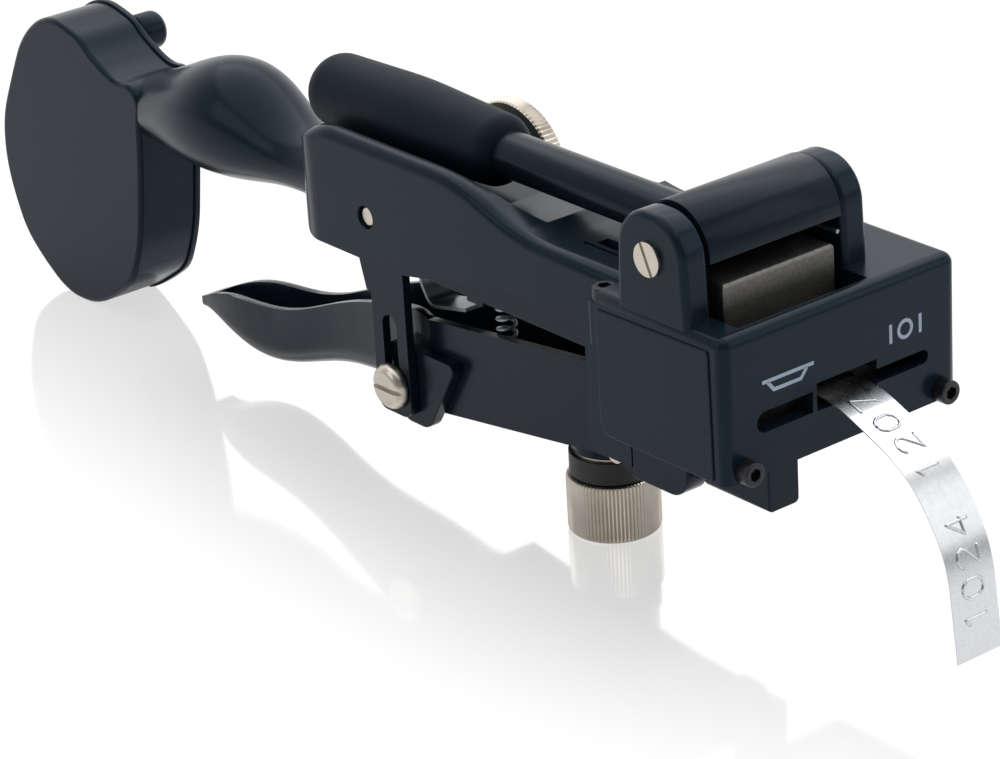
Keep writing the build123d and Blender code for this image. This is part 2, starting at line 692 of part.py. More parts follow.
def grip():
    mid_x = (GRIP_REAR_X + GRIP_FRONT_X) / 2
    corners = [
        (GRIP_REAR_X, 0), (GRIP_REAR_X, GRIP_REAR_RADIUS), (mid_x, GRIP_RADIUS),
        (GRIP_FRONT_X, GRIP_FRONT_RADIUS), (GRIP_FRONT_X, 0),
    ]
    rounds = [0, GRIP_REAR_ROUND, GRIP_CROWN_ROUND, GRIP_FRONT_ROUND, 0]
    half = make_face(FilletPolyline(*corners, radius=rounds, close=True))
    sleeve = Pos(0, HINGE_Y, LEVER_Z) * revolve(half, axis=Axis.X)
    return sleeve - rod_x(GRIP_REAR_X + GRIP_END_WALL, GRIP_FRONT_X + OVER, HINGE_Y, LEVER_Z, ROD_RADIUS)


def body_top():
    """Body seen from the side without its lower outline, its near top edge rounded."""
    points = [
        (HEAD_REAR_X, HEAD_HEIGHT), (FOLD_X, HEAD_HEIGHT), (FOLD_X - RAMP_LENGTH, RAIL_TOP_Z),
        (BODY_REAR_X, RAIL_TOP_Z), (BODY_REAR_X, TABLE_Z), (HEAD_REAR_X, TABLE_Z),
    ]
    rounds = [0, FOLD_ROUND, FOLD_ROUND, RAIL_END_ROUND, 0, 0]
    tall = side_plate(points, rounds, BODY_NEAR_Y, BODY_FAR_Y)
    near = tall.faces().sort_by(Axis.Y)[0].edges()
    return fillet([e for e in near if e.center().Z > HEAD_HEIGHT - RUN], RAIL_EDGE_ROUND)


def body_outline():
    """Room above the lower outline of the body: rear foot, arch for the trigger and pillar."""
    points = [
        (HEAD_REAR_X + OVER, RAIL_TOP_Z + OVER), (BODY_REAR_X - OVER, RAIL_TOP_Z + OVER),
        (BODY_REAR_X - OVER, BODY_BOTTOM_Z), (ARCH_REAR_X, BODY_BOTTOM_Z), (ARCH_FRONT_X, ARCH_TOP_Z),
        (PILLAR_REAR_X, ARCH_TOP_Z), (PILLAR_REAR_X, PILLAR_BOTTOM_Z), (HEAD_REAR_X + OVER, PILLAR_BOTTOM_Z),
    ]
    rounds = [
        0, 0, REAR_FOOT_ROUND + OVER, ARCH_REAR_ROUND, ARCH_FRONT_ROUND, PILLAR_TOP_ROUND, PILLAR_FOOT_ROUND,
        0,
    ]
    return side_plate(points, rounds, BODY_NEAR_Y - OVER, BODY_FAR_Y + OVER)


def body_plan():
    """Room the body takes in plan, with its two rear corners rounded."""
    plan = block(BODY_REAR_X, HEAD_REAR_X, BODY_NEAR_Y, BODY_FAR_Y, -BEYOND, BEYOND)
    return fillet(plan.edges().filter_by(Axis.Z).group_by(Axis.X)[0], BODY_REAR_ROUND)


def rear_cap_spots():
    x = HEAD_REAR_X - LEDGE_LENGTH / 2
    return ((x, BODY_NEAR_Y - LEDGE_REACH / 2), (x, BODY_FAR_Y + LEDGE_REACH / 2))


def valley_face(x, floor_z):
    """Section of the room over the deck, open to the top and to the far side."""
    crest_y = BODY_NEAR_Y + RAIL_CREST
    top_z = RAIL_TOP_Z + OVER
    points = [
        (x, crest_y, top_z), (x, crest_y, RAIL_TOP_Z), (x, BODY_NEAR_Y + RAIL_WIDTH, floor_z),
        (x, BODY_FAR_Y + OVER, floor_z), (x, BODY_FAR_Y + OVER, top_z),
    ]
    return make_face(Polyline(*points, close=True))


def body_block():
    """Outside of the body, with the cradle for the grip."""
    solid = body_top() & body_outline() & body_plan()
    cradle_x = FOLD_X - CRADLE_RUN
    low = valley_face(cradle_x, CRADLE_Z)
    solid -= loft([valley_face(FOLD_X, HEAD_HEIGHT), low], ruled=True)
    return solid - extrude(low, amount=cradle_x - BODY_REAR_X + OVER, dir=(-1, 0, 0))


def body_cover():
    shell = body_block()
    hollow = block(
        BODY_REAR_X + BODY_WALL, HEAD_REAR_X + OVER, IN_NEAR_Y, IN_FAR_Y, PILLAR_BOTTOM_Z - OVER, CEILING_Z)
    shell -= fillet(hollow.edges().filter_by(Axis.Z).group_by(Axis.X)[0], BODY_REAR_ROUND - BODY_WALL)
    for wall_y, side in ((BODY_NEAR_Y, -1), (BODY_FAR_Y, 1)):
        ledge = block(
            HEAD_REAR_X - LEDGE_LENGTH, HEAD_REAR_X, wall_y - side * BODY_WALL / 2,
            wall_y + side * LEDGE_REACH, LEDGE_FOOT_Z, LEDGE_Z)
        corner = ledge.edges().filter_by(Axis.Z).group_by(Axis.X)[0]
        shell += fillet([e for e in corner if side * (e.center().Y - wall_y) > 0], LEDGE_ROUND)
    for x, y in rear_cap_spots():
        shell -= rod_z(x, y, LEDGE_Z - CAP_SHANK_LENGTH - GAP, LEDGE_Z + OVER, CAP_SHANK_RADIUS + RUN)
    slot_half = DECK_SLOT_LENGTH / 2
    shell -= block(
        DECK_SLOT_X - slot_half, DECK_SLOT_X + slot_half, DECK_SLOT_Y - DECK_SLOT_WIDTH / 2,
        DECK_SLOT_Y + DECK_SLOT_WIDTH / 2, CEILING_Z - OVER, HEAD_HEIGHT + OVER)
    line_y = DECK_SLOT_Y - DECK_SLOT_WIDTH
    line_half = DECK_LINE_LENGTH / 2
    shell -= block(
        DECK_SLOT_X - line_half, DECK_SLOT_X + line_half, line_y - DECK_LINE_WIDTH / 2,
        line_y + DECK_LINE_WIDTH / 2, HEAD_HEIGHT - DECK_LINE_DEPTH, HEAD_HEIGHT + OVER)
    window_half = WHEEL_RADIUS + WHEEL_WINDOW_GAP
    shell -= block(
        WHEEL_X - window_half, WHEEL_X + window_half, IN_FAR_Y - OVER, BODY_FAR_Y + OVER,
        LOWER_DISC_Z - 2 * DISC_CLEAR, UPPER_DISC_TOP + 2 * DISC_CLEAR)
    shell -= rod_y(FEED_X, BODY_NEAR_Y - OVER, BODY_FAR_Y + OVER, FEED_Z, FEED_AXLE_RADIUS + RUN)
    shell -= rod_y(FEED_X, BODY_NEAR_Y - OVER, BODY_NEAR_Y + AXLE_RECESS_DEPTH, FEED_Z, AXLE_RECESS_RADIUS)
    shell -= rod_y(FEED_X, IN_FAR_Y - OVER, IN_FAR_Y + BODY_WALL / 2, IDLER_Z, IDLER_AXLE_RADIUS + RUN)
    shell -= block(BODY_REAR_X - OVER, BODY_REAR_X + 2 * BODY_WALL, *tape_channel())
    return shell - rod_y(
        TRIGGER_X, BODY_NEAR_Y + TRIGGER_PIN_SKIN, BODY_FAR_Y - TRIGGER_PIN_SKIN, TRIGGER_Z,
        TRIGGER_PIN_RADIUS + RUN)


def tape_channel():
    """Low and high Y and Z of the way the tape takes through the handle."""
    half_y = TAPE_EDGE + CHANNEL_SIDE
    return (TAPE_Y - half_y, TAPE_Y + half_y, NECK_Z - CHANNEL_HALF, NECK_Z + CHANNEL_HALF)


def frame_plate_near():
    post_x = PILLAR_REAR_X + FRAME_INSET
    points = [
        (FRAME_REAR_X, FRAME_BOTTOM_Z), (post_x, FRAME_BOTTOM_Z), (post_x, FRAME_FOOT_Z),
        (FOOT_REAR_X, FRAME_FOOT_Z), (FOOT_REAR_X, BASE_Z), (HEAD_REAR_X, BASE_Z), (HEAD_REAR_X, FRAME_TOP_Z),
        (FRAME_REAR_X, FRAME_TOP_Z),
    ]
    rounds = [FRAME_REAR_ROUND, 0, FRAME_FOOT_ROUND, FRAME_TOE_ROUND, 0, 0, 0, 0]
    plate = side_plate(points, rounds, IN_NEAR_Y, FRAME_NEAR_IN)
    toe = [
        (HEAD_REAR_X + GAP, FRAME_FOOT_Z), (FOOT_REAR_X, FRAME_FOOT_Z), (FOOT_REAR_X, -GAP),
        (HEAD_REAR_X + GAP, -GAP),
    ]
    plate += side_plate(toe, [0, FRAME_TOE_ROUND, 0, 0], BODY_NEAR_Y, FRAME_NEAR_IN)
    seat_half = RETURN_SPRING_RADIUS + RETURN_SPRING_WIRE
    plate += block(
        RETURN_SPRING_X - seat_half, RETURN_SPRING_X + seat_half, FRAME_NEAR_IN - OVER,
        FRAME_NEAR_IN + SPRING_SEAT_REACH, FRAME_BOTTOM_Z - SPRING_SEAT_THICK, FRAME_BOTTOM_Z,
    )
    return plate - rod_y(TRIGGER_X, IN_NEAR_Y - OVER, TRIGGER_MID_Y, TRIGGER_Z, TRIGGER_PIN_RADIUS + RUN)


def head_foot():
    """Block under the front of the head that carries the base plate."""
    far_y = FOOT_NEAR_Y + FOOT_WIDTH
    foot = block(FOOT_REAR_X + GAP, FOOT_FRONT_X, FOOT_NEAR_Y, far_y, FOOT_BOTTOM_Z, 0)
    foot = fillet(foot.edges().filter_by(Axis.X).group_by(Axis.Z)[0], FOOT_ROUND)
    tenon_x = HEAD_FRONT_X - HEAD_WALL - PLATE_FIT
    return foot + block(FOOT_REAR_X + GAP, tenon_x, FOOT_NEAR_Y, far_y, -OVER, BASE_Z)


def frame_plate_far():
    rear_x = WHEEL_X + CARRIER_LENGTH / 2
    post_x = PILLAR_REAR_X + FRAME_INSET
    low_z = PILLAR_BOTTOM_Z - FAR_PLATE_DROP
    shelf_z = UPPER_DISC_TOP + FAR_PLATE_CLEAR
    points = [
        (rear_x, shelf_z), (post_x, shelf_z), (post_x, low_z), (HEAD_REAR_X - FAR_PLATE_STEP, low_z),
        (HEAD_REAR_X - FAR_PLATE_STEP, -OVER), (HEAD_REAR_X, -OVER), (HEAD_REAR_X, FRAME_TOP_Z),
        (rear_x, FRAME_TOP_Z),
    ]
    rounds = [0, 0, FRAME_FOOT_ROUND, FRAME_FOOT_ROUND, 0, 0, 0, 0]
    plate = side_plate(points, rounds, FRAME_FAR_IN, IN_FAR_Y)
    return plate - rod_y(TRIGGER_X, TRIGGER_MID_Y, IN_FAR_Y + OVER, TRIGGER_Z, TRIGGER_PIN_RADIUS + RUN)


def trigger_pin():
    end_gap = TRIGGER_PIN_SKIN + RUN
    return rod_y(TRIGGER_X, BODY_NEAR_Y + end_gap, BODY_FAR_Y - end_gap, TRIGGER_Z, TRIGGER_PIN_RADIUS)


def trough_section(x, half, top, bottom):
    """Face across the lever: flat top, round bottom corners."""
    mid = TRIGGER_MID_Y
    bend = min(2 * half, top - bottom) * SPOON_ROUND_SHARE
    corners = [(x, mid - half, top), (x, mid - half, bottom), (x, mid + half, bottom), (x, mid + half, top)]
    return make_face(FilletPolyline(*corners, radius=[0, bend, bend, 0], close=True))


def spoon():
    outer = loft([trough_section(*station) for station in SPOON_STATIONS])
    inner = []
    for x, half, top, bottom in SPOON_STATIONS[:-1]:
        inner.append(trough_section(x, half - SPOON_WALL, top + SPOON_OPEN_HEIGHT, bottom + SPOON_WALL))
    front_x, front_half, _, front_bottom = SPOON_STATIONS[0]
    clear = front_half - SPOON_WALL
    lead = block(
        front_x - OVER / 2, front_x + 2 * TRIGGER_WALL, TRIGGER_MID_Y - clear, TRIGGER_MID_Y + clear,
        front_bottom + TRIGGER_FLOOR, BEYOND)
    return outer - loft(inner) - lead


def trigger_lever():
    rear_x, _, rear_top, rear_bottom = SPOON_STATIONS[0]
    points = [
        (TRIGGER_X, TRIGGER_Z + TRIGGER_BOSS_RADIUS), (ARM_TOP_X, ARM_TOP_Z), (rear_x, rear_top),
        (rear_x, rear_bottom), (ARM_BELLY_X, ARM_BELLY_Z), (TRIGGER_X, TRIGGER_Z - TRIGGER_BOSS_RADIUS),
    ]
    arm = side_plate(points, [0, ARM_TOP_ROUND, 0, 0, ARM_BELLY_ROUND, 0], TRIGGER_NEAR_Y, TRIGGER_FAR_Y)
    floor_z = ARM_BELLY_Z + TRIGGER_FLOOR
    inside = [
        (TROUGH_FRONT_X, BEYOND), (rear_x - OVER, BEYOND), (rear_x - OVER, rear_bottom + TRIGGER_FLOOR),
        (ARM_BELLY_X, floor_z), (TROUGH_FRONT_X, floor_z + TROUGH_FRONT_RISE),
    ]
    arm -= side_plate(
        inside, [0, 0, 0, TROUGH_ROUND, TROUGH_ROUND], TRIGGER_NEAR_Y + TRIGGER_WALL,
        TRIGGER_FAR_Y - TRIGGER_WALL)
    arm += rod_y(TRIGGER_X, FRAME_NEAR_IN + GAP, FRAME_FAR_IN - GAP, TRIGGER_Z, TRIGGER_BOSS_RADIUS)
    arm += spoon()
    arm += rod_z(KNOB_X, TAPE_Y, WASHER_TOP_Z, BOSS_TOP_Z, BOSS_RADIUS)
    arm -= screw_hole()
    arm -= rod_y(
        STOP_SCREW_X, TRIGGER_NEAR_Y - OVER, TRIGGER_NEAR_Y + TRIGGER_WALL, STOP_SCREW_Z, STOP_SHANK_RADIUS)
    return arm - rod_y(TRIGGER_X, BODY_NEAR_Y, BODY_FAR_Y, TRIGGER_Z, TRIGGER_PIN_RADIUS + RUN)


def screw_hole():
    """Running hole for the depth screw through the trigger, washer and collar."""
    return rod_z(KNOB_X, TAPE_Y, TABLE_Z, SCREW_TIP_Z, SCREW_RADIUS + RUN)


def knob_washer():
    return rod_z(KNOB_X, TAPE_Y, COLLAR_TOP_Z, WASHER_TOP_Z, WASHER_RADIUS) - screw_hole()


def knob_collar():
    foot_z = KNOB_TOP_Z - KNOB_RECESS + GAP
    collar = rod_z(KNOB_X, TAPE_Y, foot_z, COLLAR_TOP_Z, COLLAR_RADIUS)
    collar += rod_z(KNOB_X, TAPE_Y, KNOB_TOP_Z + GAP, COLLAR_TOP_Z, COLLAR_FLANGE_RADIUS)
    return collar - screw_hole()


def depth_knob():
    knob = rod_z(KNOB_X, TAPE_Y, TABLE_Z, KNOB_TOP_Z, KNOB_RADIUS)
    knob = chamfer(knob.edges().filter_by(GeomType.CIRCLE), KNOB_CHAMFER)
    knob -= rod_z(KNOB_X, TAPE_Y, KNOB_TOP_Z - KNOB_RECESS, KNOB_TOP_Z + OVER, COLLAR_RADIUS + GAP)
    return knob - rod_z(KNOB_X, TAPE_Y, TABLE_Z + KNOB_FLOOR, KNOB_TOP_Z, SCREW_RADIUS)


def depth_screw():
    screw = rod_z(KNOB_X, TAPE_Y, TABLE_Z + KNOB_FLOOR, SCREW_TIP_Z, SCREW_RADIUS)
    return chamfer(screw.edges().group_by(Axis.Z)[-1], KNOB_CHAMFER)


def stop_bracket():
    half = BRACKET_WIDTH / 2
    points = [
        (BRACKET_X - half, BRACKET_BOTTOM_Z), (BRACKET_X + half, BRACKET_BOTTOM_Z),
        (BRACKET_X + half, BRACKET_TOP_Z), (BRACKET_X - half, BRACKET_TOP_Z),
    ]
    y1 = IN_NEAR_Y + BRACKET_THICK
    plate = side_plate(points, [BRACKET_ROUND, BRACKET_ROUND, 0, 0], IN_NEAR_Y, y1)
    rear_x = BRACKET_X - half
    web_z = STOP_SLOT_TOP_Z + WEB_RISE
    web = [
        (rear_x - WEB_REACH, BODY_BOTTOM_Z), (rear_x - WEB_TOE, web_z), (rear_x, web_z),
        (rear_x, BODY_BOTTOM_Z),
    ]
    plate += side_plate(web, [0, 0, 0, 0], IN_NEAR_Y, y1)
    reach = STOP_SLOT_WIDTH / 2
    slot_top = STOP_SLOT_TOP_Z - reach
    slot = block(BRACKET_X - reach, BRACKET_X + reach, IN_NEAR_Y - OVER, y1 + OVER, STOP_SCREW_Z, slot_top)
    slot += rod_y(BRACKET_X, IN_NEAR_Y - OVER, y1 + OVER, STOP_SCREW_Z, reach)
    slot += rod_y(BRACKET_X, IN_NEAR_Y - OVER, y1 + OVER, slot_top, reach)
    return plate - slot - rod_y(FEED_X, IN_NEAR_Y - OVER, y1 + OVER, IDLER_Z, IDLER_AXLE_RADIUS + RUN)


def stop_screw():
    seat_y = IN_NEAR_Y - GAP
    head = rod_y(STOP_SCREW_X, seat_y - STOP_HEAD_THICK, seat_y, STOP_SCREW_Z, STOP_HEAD_RADIUS)
    head = fillet(head.edges().filter_by(GeomType.CIRCLE).group_by(Axis.Y)[0], STOP_HEAD_ROUND)
    head -= Pos(STOP_SCREW_X, seat_y - STOP_HEAD_THICK, STOP_SCREW_Z) * Box(
        3 * STOP_HEAD_RADIUS, 2 * STOP_CUT_DEPTH, STOP_CUT_WIDTH)
    return head + rod_y(STOP_SCREW_X, seat_y, TRIGGER_NEAR_Y + TRIGGER_WALL, STOP_SCREW_Z, STOP_SHANK_RADIUS)


def stop_lug():
    points = [
        (LUG_REAR_X, LUG_BOTTOM_Z), (LUG_FRONT_X, LUG_BOTTOM_Z), (LUG_TOP_FRONT_X, LUG_TOP_Z),
        (LUG_TOP_REAR_X, LUG_TOP_Z),
    ]
    y0 = IN_NEAR_Y + BRACKET_THICK + GAP
    rounds = [LUG_FOOT_ROUND, LUG_FOOT_ROUND, LUG_TOP_ROUND, LUG_TOP_ROUND]
    lug = side_plate(points, rounds, y0, TRIGGER_NEAR_Y)
    return lug - rod_y(STOP_SCREW_X, y0 - OVER, TRIGGER_NEAR_Y + OVER, STOP_SCREW_Z, STOP_SHANK_RADIUS)


def return_spring():
    return coil(
        RETURN_SPRING_X, RETURN_SPRING_Y, RETURN_SPRING_FOOT_Z, FRAME_BOTTOM_Z - SPRING_SEAT_THICK,
        RETURN_SPRING_RADIUS, RETURN_SPRING_WIRE, RETURN_SPRING_TURNS)


def strip(points, bends, thick, near_y, width):
    """Bent strip of even thickness, drawn in the side view."""
    corners = [(x, near_y, z) for x, z in points]
    path = FilletPolyline(*corners, radius=list(bends))
    band = make_face(offset(path, amount=thick, side=Side.LEFT, closed=True))
    return extrude(band, amount=width, dir=(0, 1, 0))


def leaf_strip():
    points = [
        (LEAF_TOP_X, CEILING_Z - LEAF_THICK), (LEAF_BEND_X, LEAF_BEND_Z), (LEAF_FOOT_X, LEAF_FOOT_Z),
        (LEAF_TIP_X, LEAF_TIP_Z),
    ]
    return strip(points, LEAF_BENDS, LEAF_THICK, LEAF_NEAR_Y, LEAF_WIDTH)


def wheel_disc(z0, z1):
    """Disc with radial slits that free one finger for each character."""
    disc = rod_z(WHEEL_X, WHEEL_Y, z0, z1, WHEEL_RADIUS)
    inner = WHEEL_RADIUS - FINGER_LENGTH
    slit = block(inner, WHEEL_RADIUS + OVER, -FINGER_SLIT / 2, FINGER_SLIT / 2, z0 - OVER, z1 + OVER)
    for index in range(FINGER_COUNT):
        disc -= Pos(WHEEL_X, WHEEL_Y, 0) * Rot(0, 0, 360 / FINGER_COUNT * index) * slit
    return disc - rod_z(WHEEL_X, WHEEL_Y, z0 - OVER, z1 + OVER, WHEEL_AXLE_RADIUS)


def wheel_axle():
    axle = rod_z(WHEEL_X, WHEEL_Y, LOWER_DISC_Z, FRAME_TOP_Z - WHEEL_AXLE_DROP, WHEEL_AXLE_RADIUS)
    return axle + rod_z(WHEEL_X, WHEEL_Y, LOWER_DISC_TOP, UPPER_DISC_Z, WHEEL_SPACER_RADIUS)


def wheel_carrier():
    half = CARRIER_LENGTH / 2
    seat_z = UPPER_DISC_TOP + DISC_CLEAR
    solid = block(WHEEL_X - half, WHEEL_X + half, WHEEL_Y - half, IN_FAR_Y, seat_z, CEILING_Z)
    bore_top = FRAME_TOP_Z - WHEEL_AXLE_DROP + RUN
    return solid - rod_z(WHEEL_X, WHEEL_Y, seat_z - OVER, bore_top, WHEEL_AXLE_RADIUS + RUN)


def anvil():
    half = ANVIL_LENGTH / 2
    near_y = TAPE_Y - ANVIL_WIDTH / 2
    return block(
        KNOB_X - half, KNOB_X + half, near_y, near_y + ANVIL_WIDTH - ANVIL_TRIM, UPPER_DISC_TOP + DISC_CLEAR,
        CEILING_Z)


def feed_knob():
    y0 = BODY_FAR_Y + GAP
    knob = rod_y(FEED_X, y0, y0 + FEED_KNOB_THICK, FEED_Z, FEED_KNOB_RADIUS)
    knob = chamfer(knob.edges().filter_by(GeomType.CIRCLE), FEED_KNOB_CHAMFER)
    return knob - rod_y(FEED_X, y0 - OVER, FEED_AXLE_FAR_Y, FEED_Z, FEED_AXLE_RADIUS)


def feed_axle():
    return rod_y(FEED_X, BODY_NEAR_Y + AXLE_END_SINK, FEED_AXLE_FAR_Y, FEED_Z, FEED_AXLE_RADIUS)


def roller(z, radius, bore):
    y0 = TAPE_Y - TAPE_EDGE - ROLLER_MARGIN
    y1 = TAPE_Y + TAPE_EDGE + ROLLER_MARGIN
    return rod_y(FEED_X, y0, y1, z, radius) - rod_y(FEED_X, y0 - OVER, y1 + OVER, z, bore)


def idler_axle():
    return rod_y(
        FEED_X, IN_NEAR_Y + RUN, IN_FAR_Y + BODY_WALL / 2 - RUN, IDLER_Z, IDLER_AXLE_RADIUS)


def handle():
    rings = []
    for x, half_y, half_z, mid_z in HANDLE_STATIONS:
        across = Plane(origin=(x, HANDLE_Y, mid_z), x_dir=(0, -1, 0), z_dir=(1, 0, 0))
        rings.append(across * Ellipse(half_y, half_z))
    bulb = loft(rings)
    bulb -= extrude(smooth_face(MAG_POINTS, -BEYOND), amount=2 * BEYOND, dir=(0, 1, 0))
    lid_room = offset(smooth_face(MAG_POINTS, MAG_FAR_Y - GAP), amount=LID_PROUD + GAP)
    bulb -= extrude(lid_room, amount=BEYOND, dir=(0, 1, 0))
    bulb -= body_plan()
    return bulb - block(-BEYOND, BEYOND, *tape_channel())


def above_table():
    return block(-BEYOND, BEYOND, -BEYOND, BEYOND, TABLE_Z, BEYOND)


def magazine_case():
    case = extrude(smooth_face(MAG_POINTS, MAG_NEAR_Y), amount=MAG_DEPTH, dir=(0, 1, 0))
    case = fillet(case.faces().sort_by(Axis.Y)[0].edges(), MAG_EDGE_ROUND)
    inner = offset(smooth_face(MAG_POINTS, MAG_NEAR_Y + MAG_WALL), amount=-MAG_WALL)
    case -= extrude(inner, amount=MAG_DEPTH, dir=(0, 1, 0))
    case += rod_y(LID_POST_X, MAG_NEAR_Y + MAG_WALL / 2, MAG_FAR_Y, LID_POST_Z, LID_BOSS_RADIUS)
    case -= block(REEL_X + REEL_RADIUS, BODY_REAR_X, *tape_channel())
    case -= rod_y(LID_POST_X, MAG_NEAR_Y + POST_SEAT, MAG_FAR_Y + OVER, LID_POST_Z, LID_POST_SHANK)
    case -= rod_y(REEL_X, MAG_NEAR_Y + SPINDLE_SEAT, MAG_FAR_Y, REEL_Z, SPINDLE_RADIUS)
    return case & above_table()


def magazine_lid():
    outline = offset(smooth_face(MAG_POINTS, MAG_FAR_Y), amount=LID_PROUD)
    lid = extrude(outline, amount=LID_THICK, dir=(0, 1, 0)) & above_table()
    return lid - rod_y(LID_POST_X, MAG_FAR_Y - OVER, LID_FAR_Y + OVER, LID_POST_Z, LID_POST_SHANK + RUN)


def lid_post():
    knob = rod_y(LID_POST_X, LID_FAR_Y + RUN, LID_FAR_Y + LID_POST_HEIGHT, LID_POST_Z, LID_POST_RADIUS)
    knob = fillet(knob.edges().filter_by(GeomType.CIRCLE).group_by(Axis.Y)[-1], LID_POST_ROUND)
    return knob + rod_y(LID_POST_X, MAG_NEAR_Y + POST_SEAT, LID_FAR_Y + OVER, LID_POST_Z, LID_POST_SHANK)


def reel_spindle():
    return rod_y(REEL_X, MAG_NEAR_Y + SPINDLE_SEAT, MAG_FAR_Y - GAP, REEL_Z, SPINDLE_RADIUS)


def reel_ring(outer, bore):
    y0 = TAPE_Y - TAPE_EDGE
    y1 = TAPE_Y + TAPE_EDGE
    return rod_y(REEL_X, y0, y1, REEL_Z, outer) - rod_y(REEL_X, y0 - OVER, y1 + OVER, REEL_Z, bore)


def tape_strip():
    points = [(TAPE_START_X, TAPE_Z)]
    for ahead, rise in TAPE_HANG:
        points.append((HEAD_FRONT_X + ahead, TAPE_Z + rise))
    return strip(points, TAPE_BENDS, TAPE_THICK, TAPE_Y - TAPE_EDGE, TAPE_WIDTH)


def cap_screw():
    """Socket cap screw along Z, seat at z = 0."""
    head = rod_z(0, 0, 0, CAP_HEAD_HEIGHT, CAP_HEAD_RADIUS)
    head = fillet(head.edges().group_by(Axis.Z)[-1], CAP_HEAD_ROUND)
    socket = extrude(RegularPolygon(CAP_SOCKET_RADIUS, 6), amount=CAP_SOCKET_DEPTH)
    head -= Pos(0, 0, CAP_HEAD_HEIGHT - CAP_SOCKET_DEPTH) * socket
    return head + rod_z(0, 0, -CAP_SHANK_LENGTH, 0, CAP_SHANK_RADIUS)


def front_cap_screws():
    ahead = Rot(0, 90, 0) * cap_screw()
    return Compound([Pos(HEAD_FRONT_X, side * FRONT_CAP_Y, CAP_Z) * ahead for side in (-1, 1)])


def rear_cap_screws():
    return Compound([Pos(x, y, LEDGE_Z) * cap_screw() for x, y in rear_cap_spots()])


NODES = {
    "head_cover": head_cover,
    "base_plate": base_plate,
    "die_block": die_block,
    "stripper_plate": stripper_plate,
    "ram": ram,
    "cutter_blade": cutter_blade,
    "tab_punch": tab_punch,
    "hole_punch": hole_punch,
    "ram_springs": ram_springs,
    "hinge_pin": hinge_pin,
    "lever_hub": lever_hub,
    "torsion_spring": torsion_spring,
    "lever_rod": lever_rod,
    "grip": grip,
    "body_cover": body_cover,
    "frame_plate_near": frame_plate_near,
    "frame_plate_far": frame_plate_far,
    "head_foot": head_foot,
    "trigger_pin": trigger_pin,
    "trigger_lever": trigger_lever,
    "knob_washer": knob_washer,
    "knob_collar": knob_collar,
    "depth_knob": depth_knob,
    "depth_screw": depth_screw,
    "stop_bracket": stop_bracket,
    "stop_screw": stop_screw,
    "stop_lug": stop_lug,
    "return_spring": return_spring,
    "leaf_strip": leaf_strip,
    "wheel_upper_disc": lambda: wheel_disc(UPPER_DISC_Z, UPPER_DISC_TOP),
    "wheel_lower_disc": lambda: wheel_disc(LOWER_DISC_Z, LOWER_DISC_TOP),
    "wheel_axle": wheel_axle,
    "wheel_carrier": wheel_carrier,
    "anvil": anvil,
    "feed_knob": feed_knob,
    "feed_axle": feed_axle,
    "feed_roller": lambda: roller(FEED_Z, FEED_ROLLER_RADIUS, FEED_AXLE_RADIUS),
    "idler_roller": lambda: roller(IDLER_Z, IDLER_RADIUS, IDLER_AXLE_RADIUS + RUN),
    "idler_axle": idler_axle,
    "handle": handle,
    "magazine_case": magazine_case,
    "magazine_lid": magazine_lid,
    "lid_post": lid_post,
    "reel_spindle": reel_spindle,
    "reel_core": lambda: reel_ring(REEL_CORE_RADIUS, SPINDLE_RADIUS + RUN),
    "wound_tape": lambda: reel_ring(REEL_RADIUS, REEL_CORE_RADIUS),
    "tape_strip": tape_strip,
    "front_cap_screws": front_cap_screws,
    "rear_cap_screws": rear_cap_screws,
}

shapes = {name: make() for name, make in NODES.items()}
boxes = [shape.bounding_box() for shape in shapes.values()]
mid_x = (min(box.min.X for box in boxes) + max(box.max.X for box in boxes)) / 2
mid_y = (min(box.min.Y for box in boxes) + max(box.max.Y for box in boxes)) / 2
low_z = min(box.min.Z for box in boxes)
print(f"moved by {-mid_x:.4f} {-mid_y:.4f} {-low_z:.4f}")

os.makedirs("parts", exist_ok=True)
for name, shape in shapes.items():
    export_step(Pos(-mid_x, -mid_y, -low_z) * shape, f"parts/{name}.step")
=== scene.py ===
import json
import math

import bmesh
import bpy
from mathutils import Matrix, Vector


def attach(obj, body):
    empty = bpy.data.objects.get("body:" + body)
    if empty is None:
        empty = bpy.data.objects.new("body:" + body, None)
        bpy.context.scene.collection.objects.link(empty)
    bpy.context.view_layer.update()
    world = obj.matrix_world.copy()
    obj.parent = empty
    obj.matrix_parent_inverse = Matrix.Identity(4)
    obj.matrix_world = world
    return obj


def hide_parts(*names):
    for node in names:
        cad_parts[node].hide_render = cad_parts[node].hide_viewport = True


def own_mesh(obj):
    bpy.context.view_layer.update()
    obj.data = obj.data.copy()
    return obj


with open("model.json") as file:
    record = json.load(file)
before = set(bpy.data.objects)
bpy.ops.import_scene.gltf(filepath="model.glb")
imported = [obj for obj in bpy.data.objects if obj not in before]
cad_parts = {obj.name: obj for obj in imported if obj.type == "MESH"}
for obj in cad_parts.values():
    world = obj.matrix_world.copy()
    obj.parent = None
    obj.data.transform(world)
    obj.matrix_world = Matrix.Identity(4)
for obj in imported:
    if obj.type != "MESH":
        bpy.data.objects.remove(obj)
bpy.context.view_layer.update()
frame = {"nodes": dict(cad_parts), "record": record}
nodes = frame["nodes"]
slot_of = {part["node"]: part["material_slot"] for part in frame["record"]["subparts"]}

MM = 0.001

# The drawing of the tool starts at the head: x = 0 is its front face, y = 0 its
# middle and z = 0 its lower edge. This shift, in mm, takes it to the row frame.
DRAWING_SHIFT = Vector((128.4062, 0.45, 44.0))


def at(x, y, z):
    """A point of the drawing, in mm, as a point of the row frame in metres."""
    return (Vector((x, y, z)) + DRAWING_SHIFT) * MM


# Materials

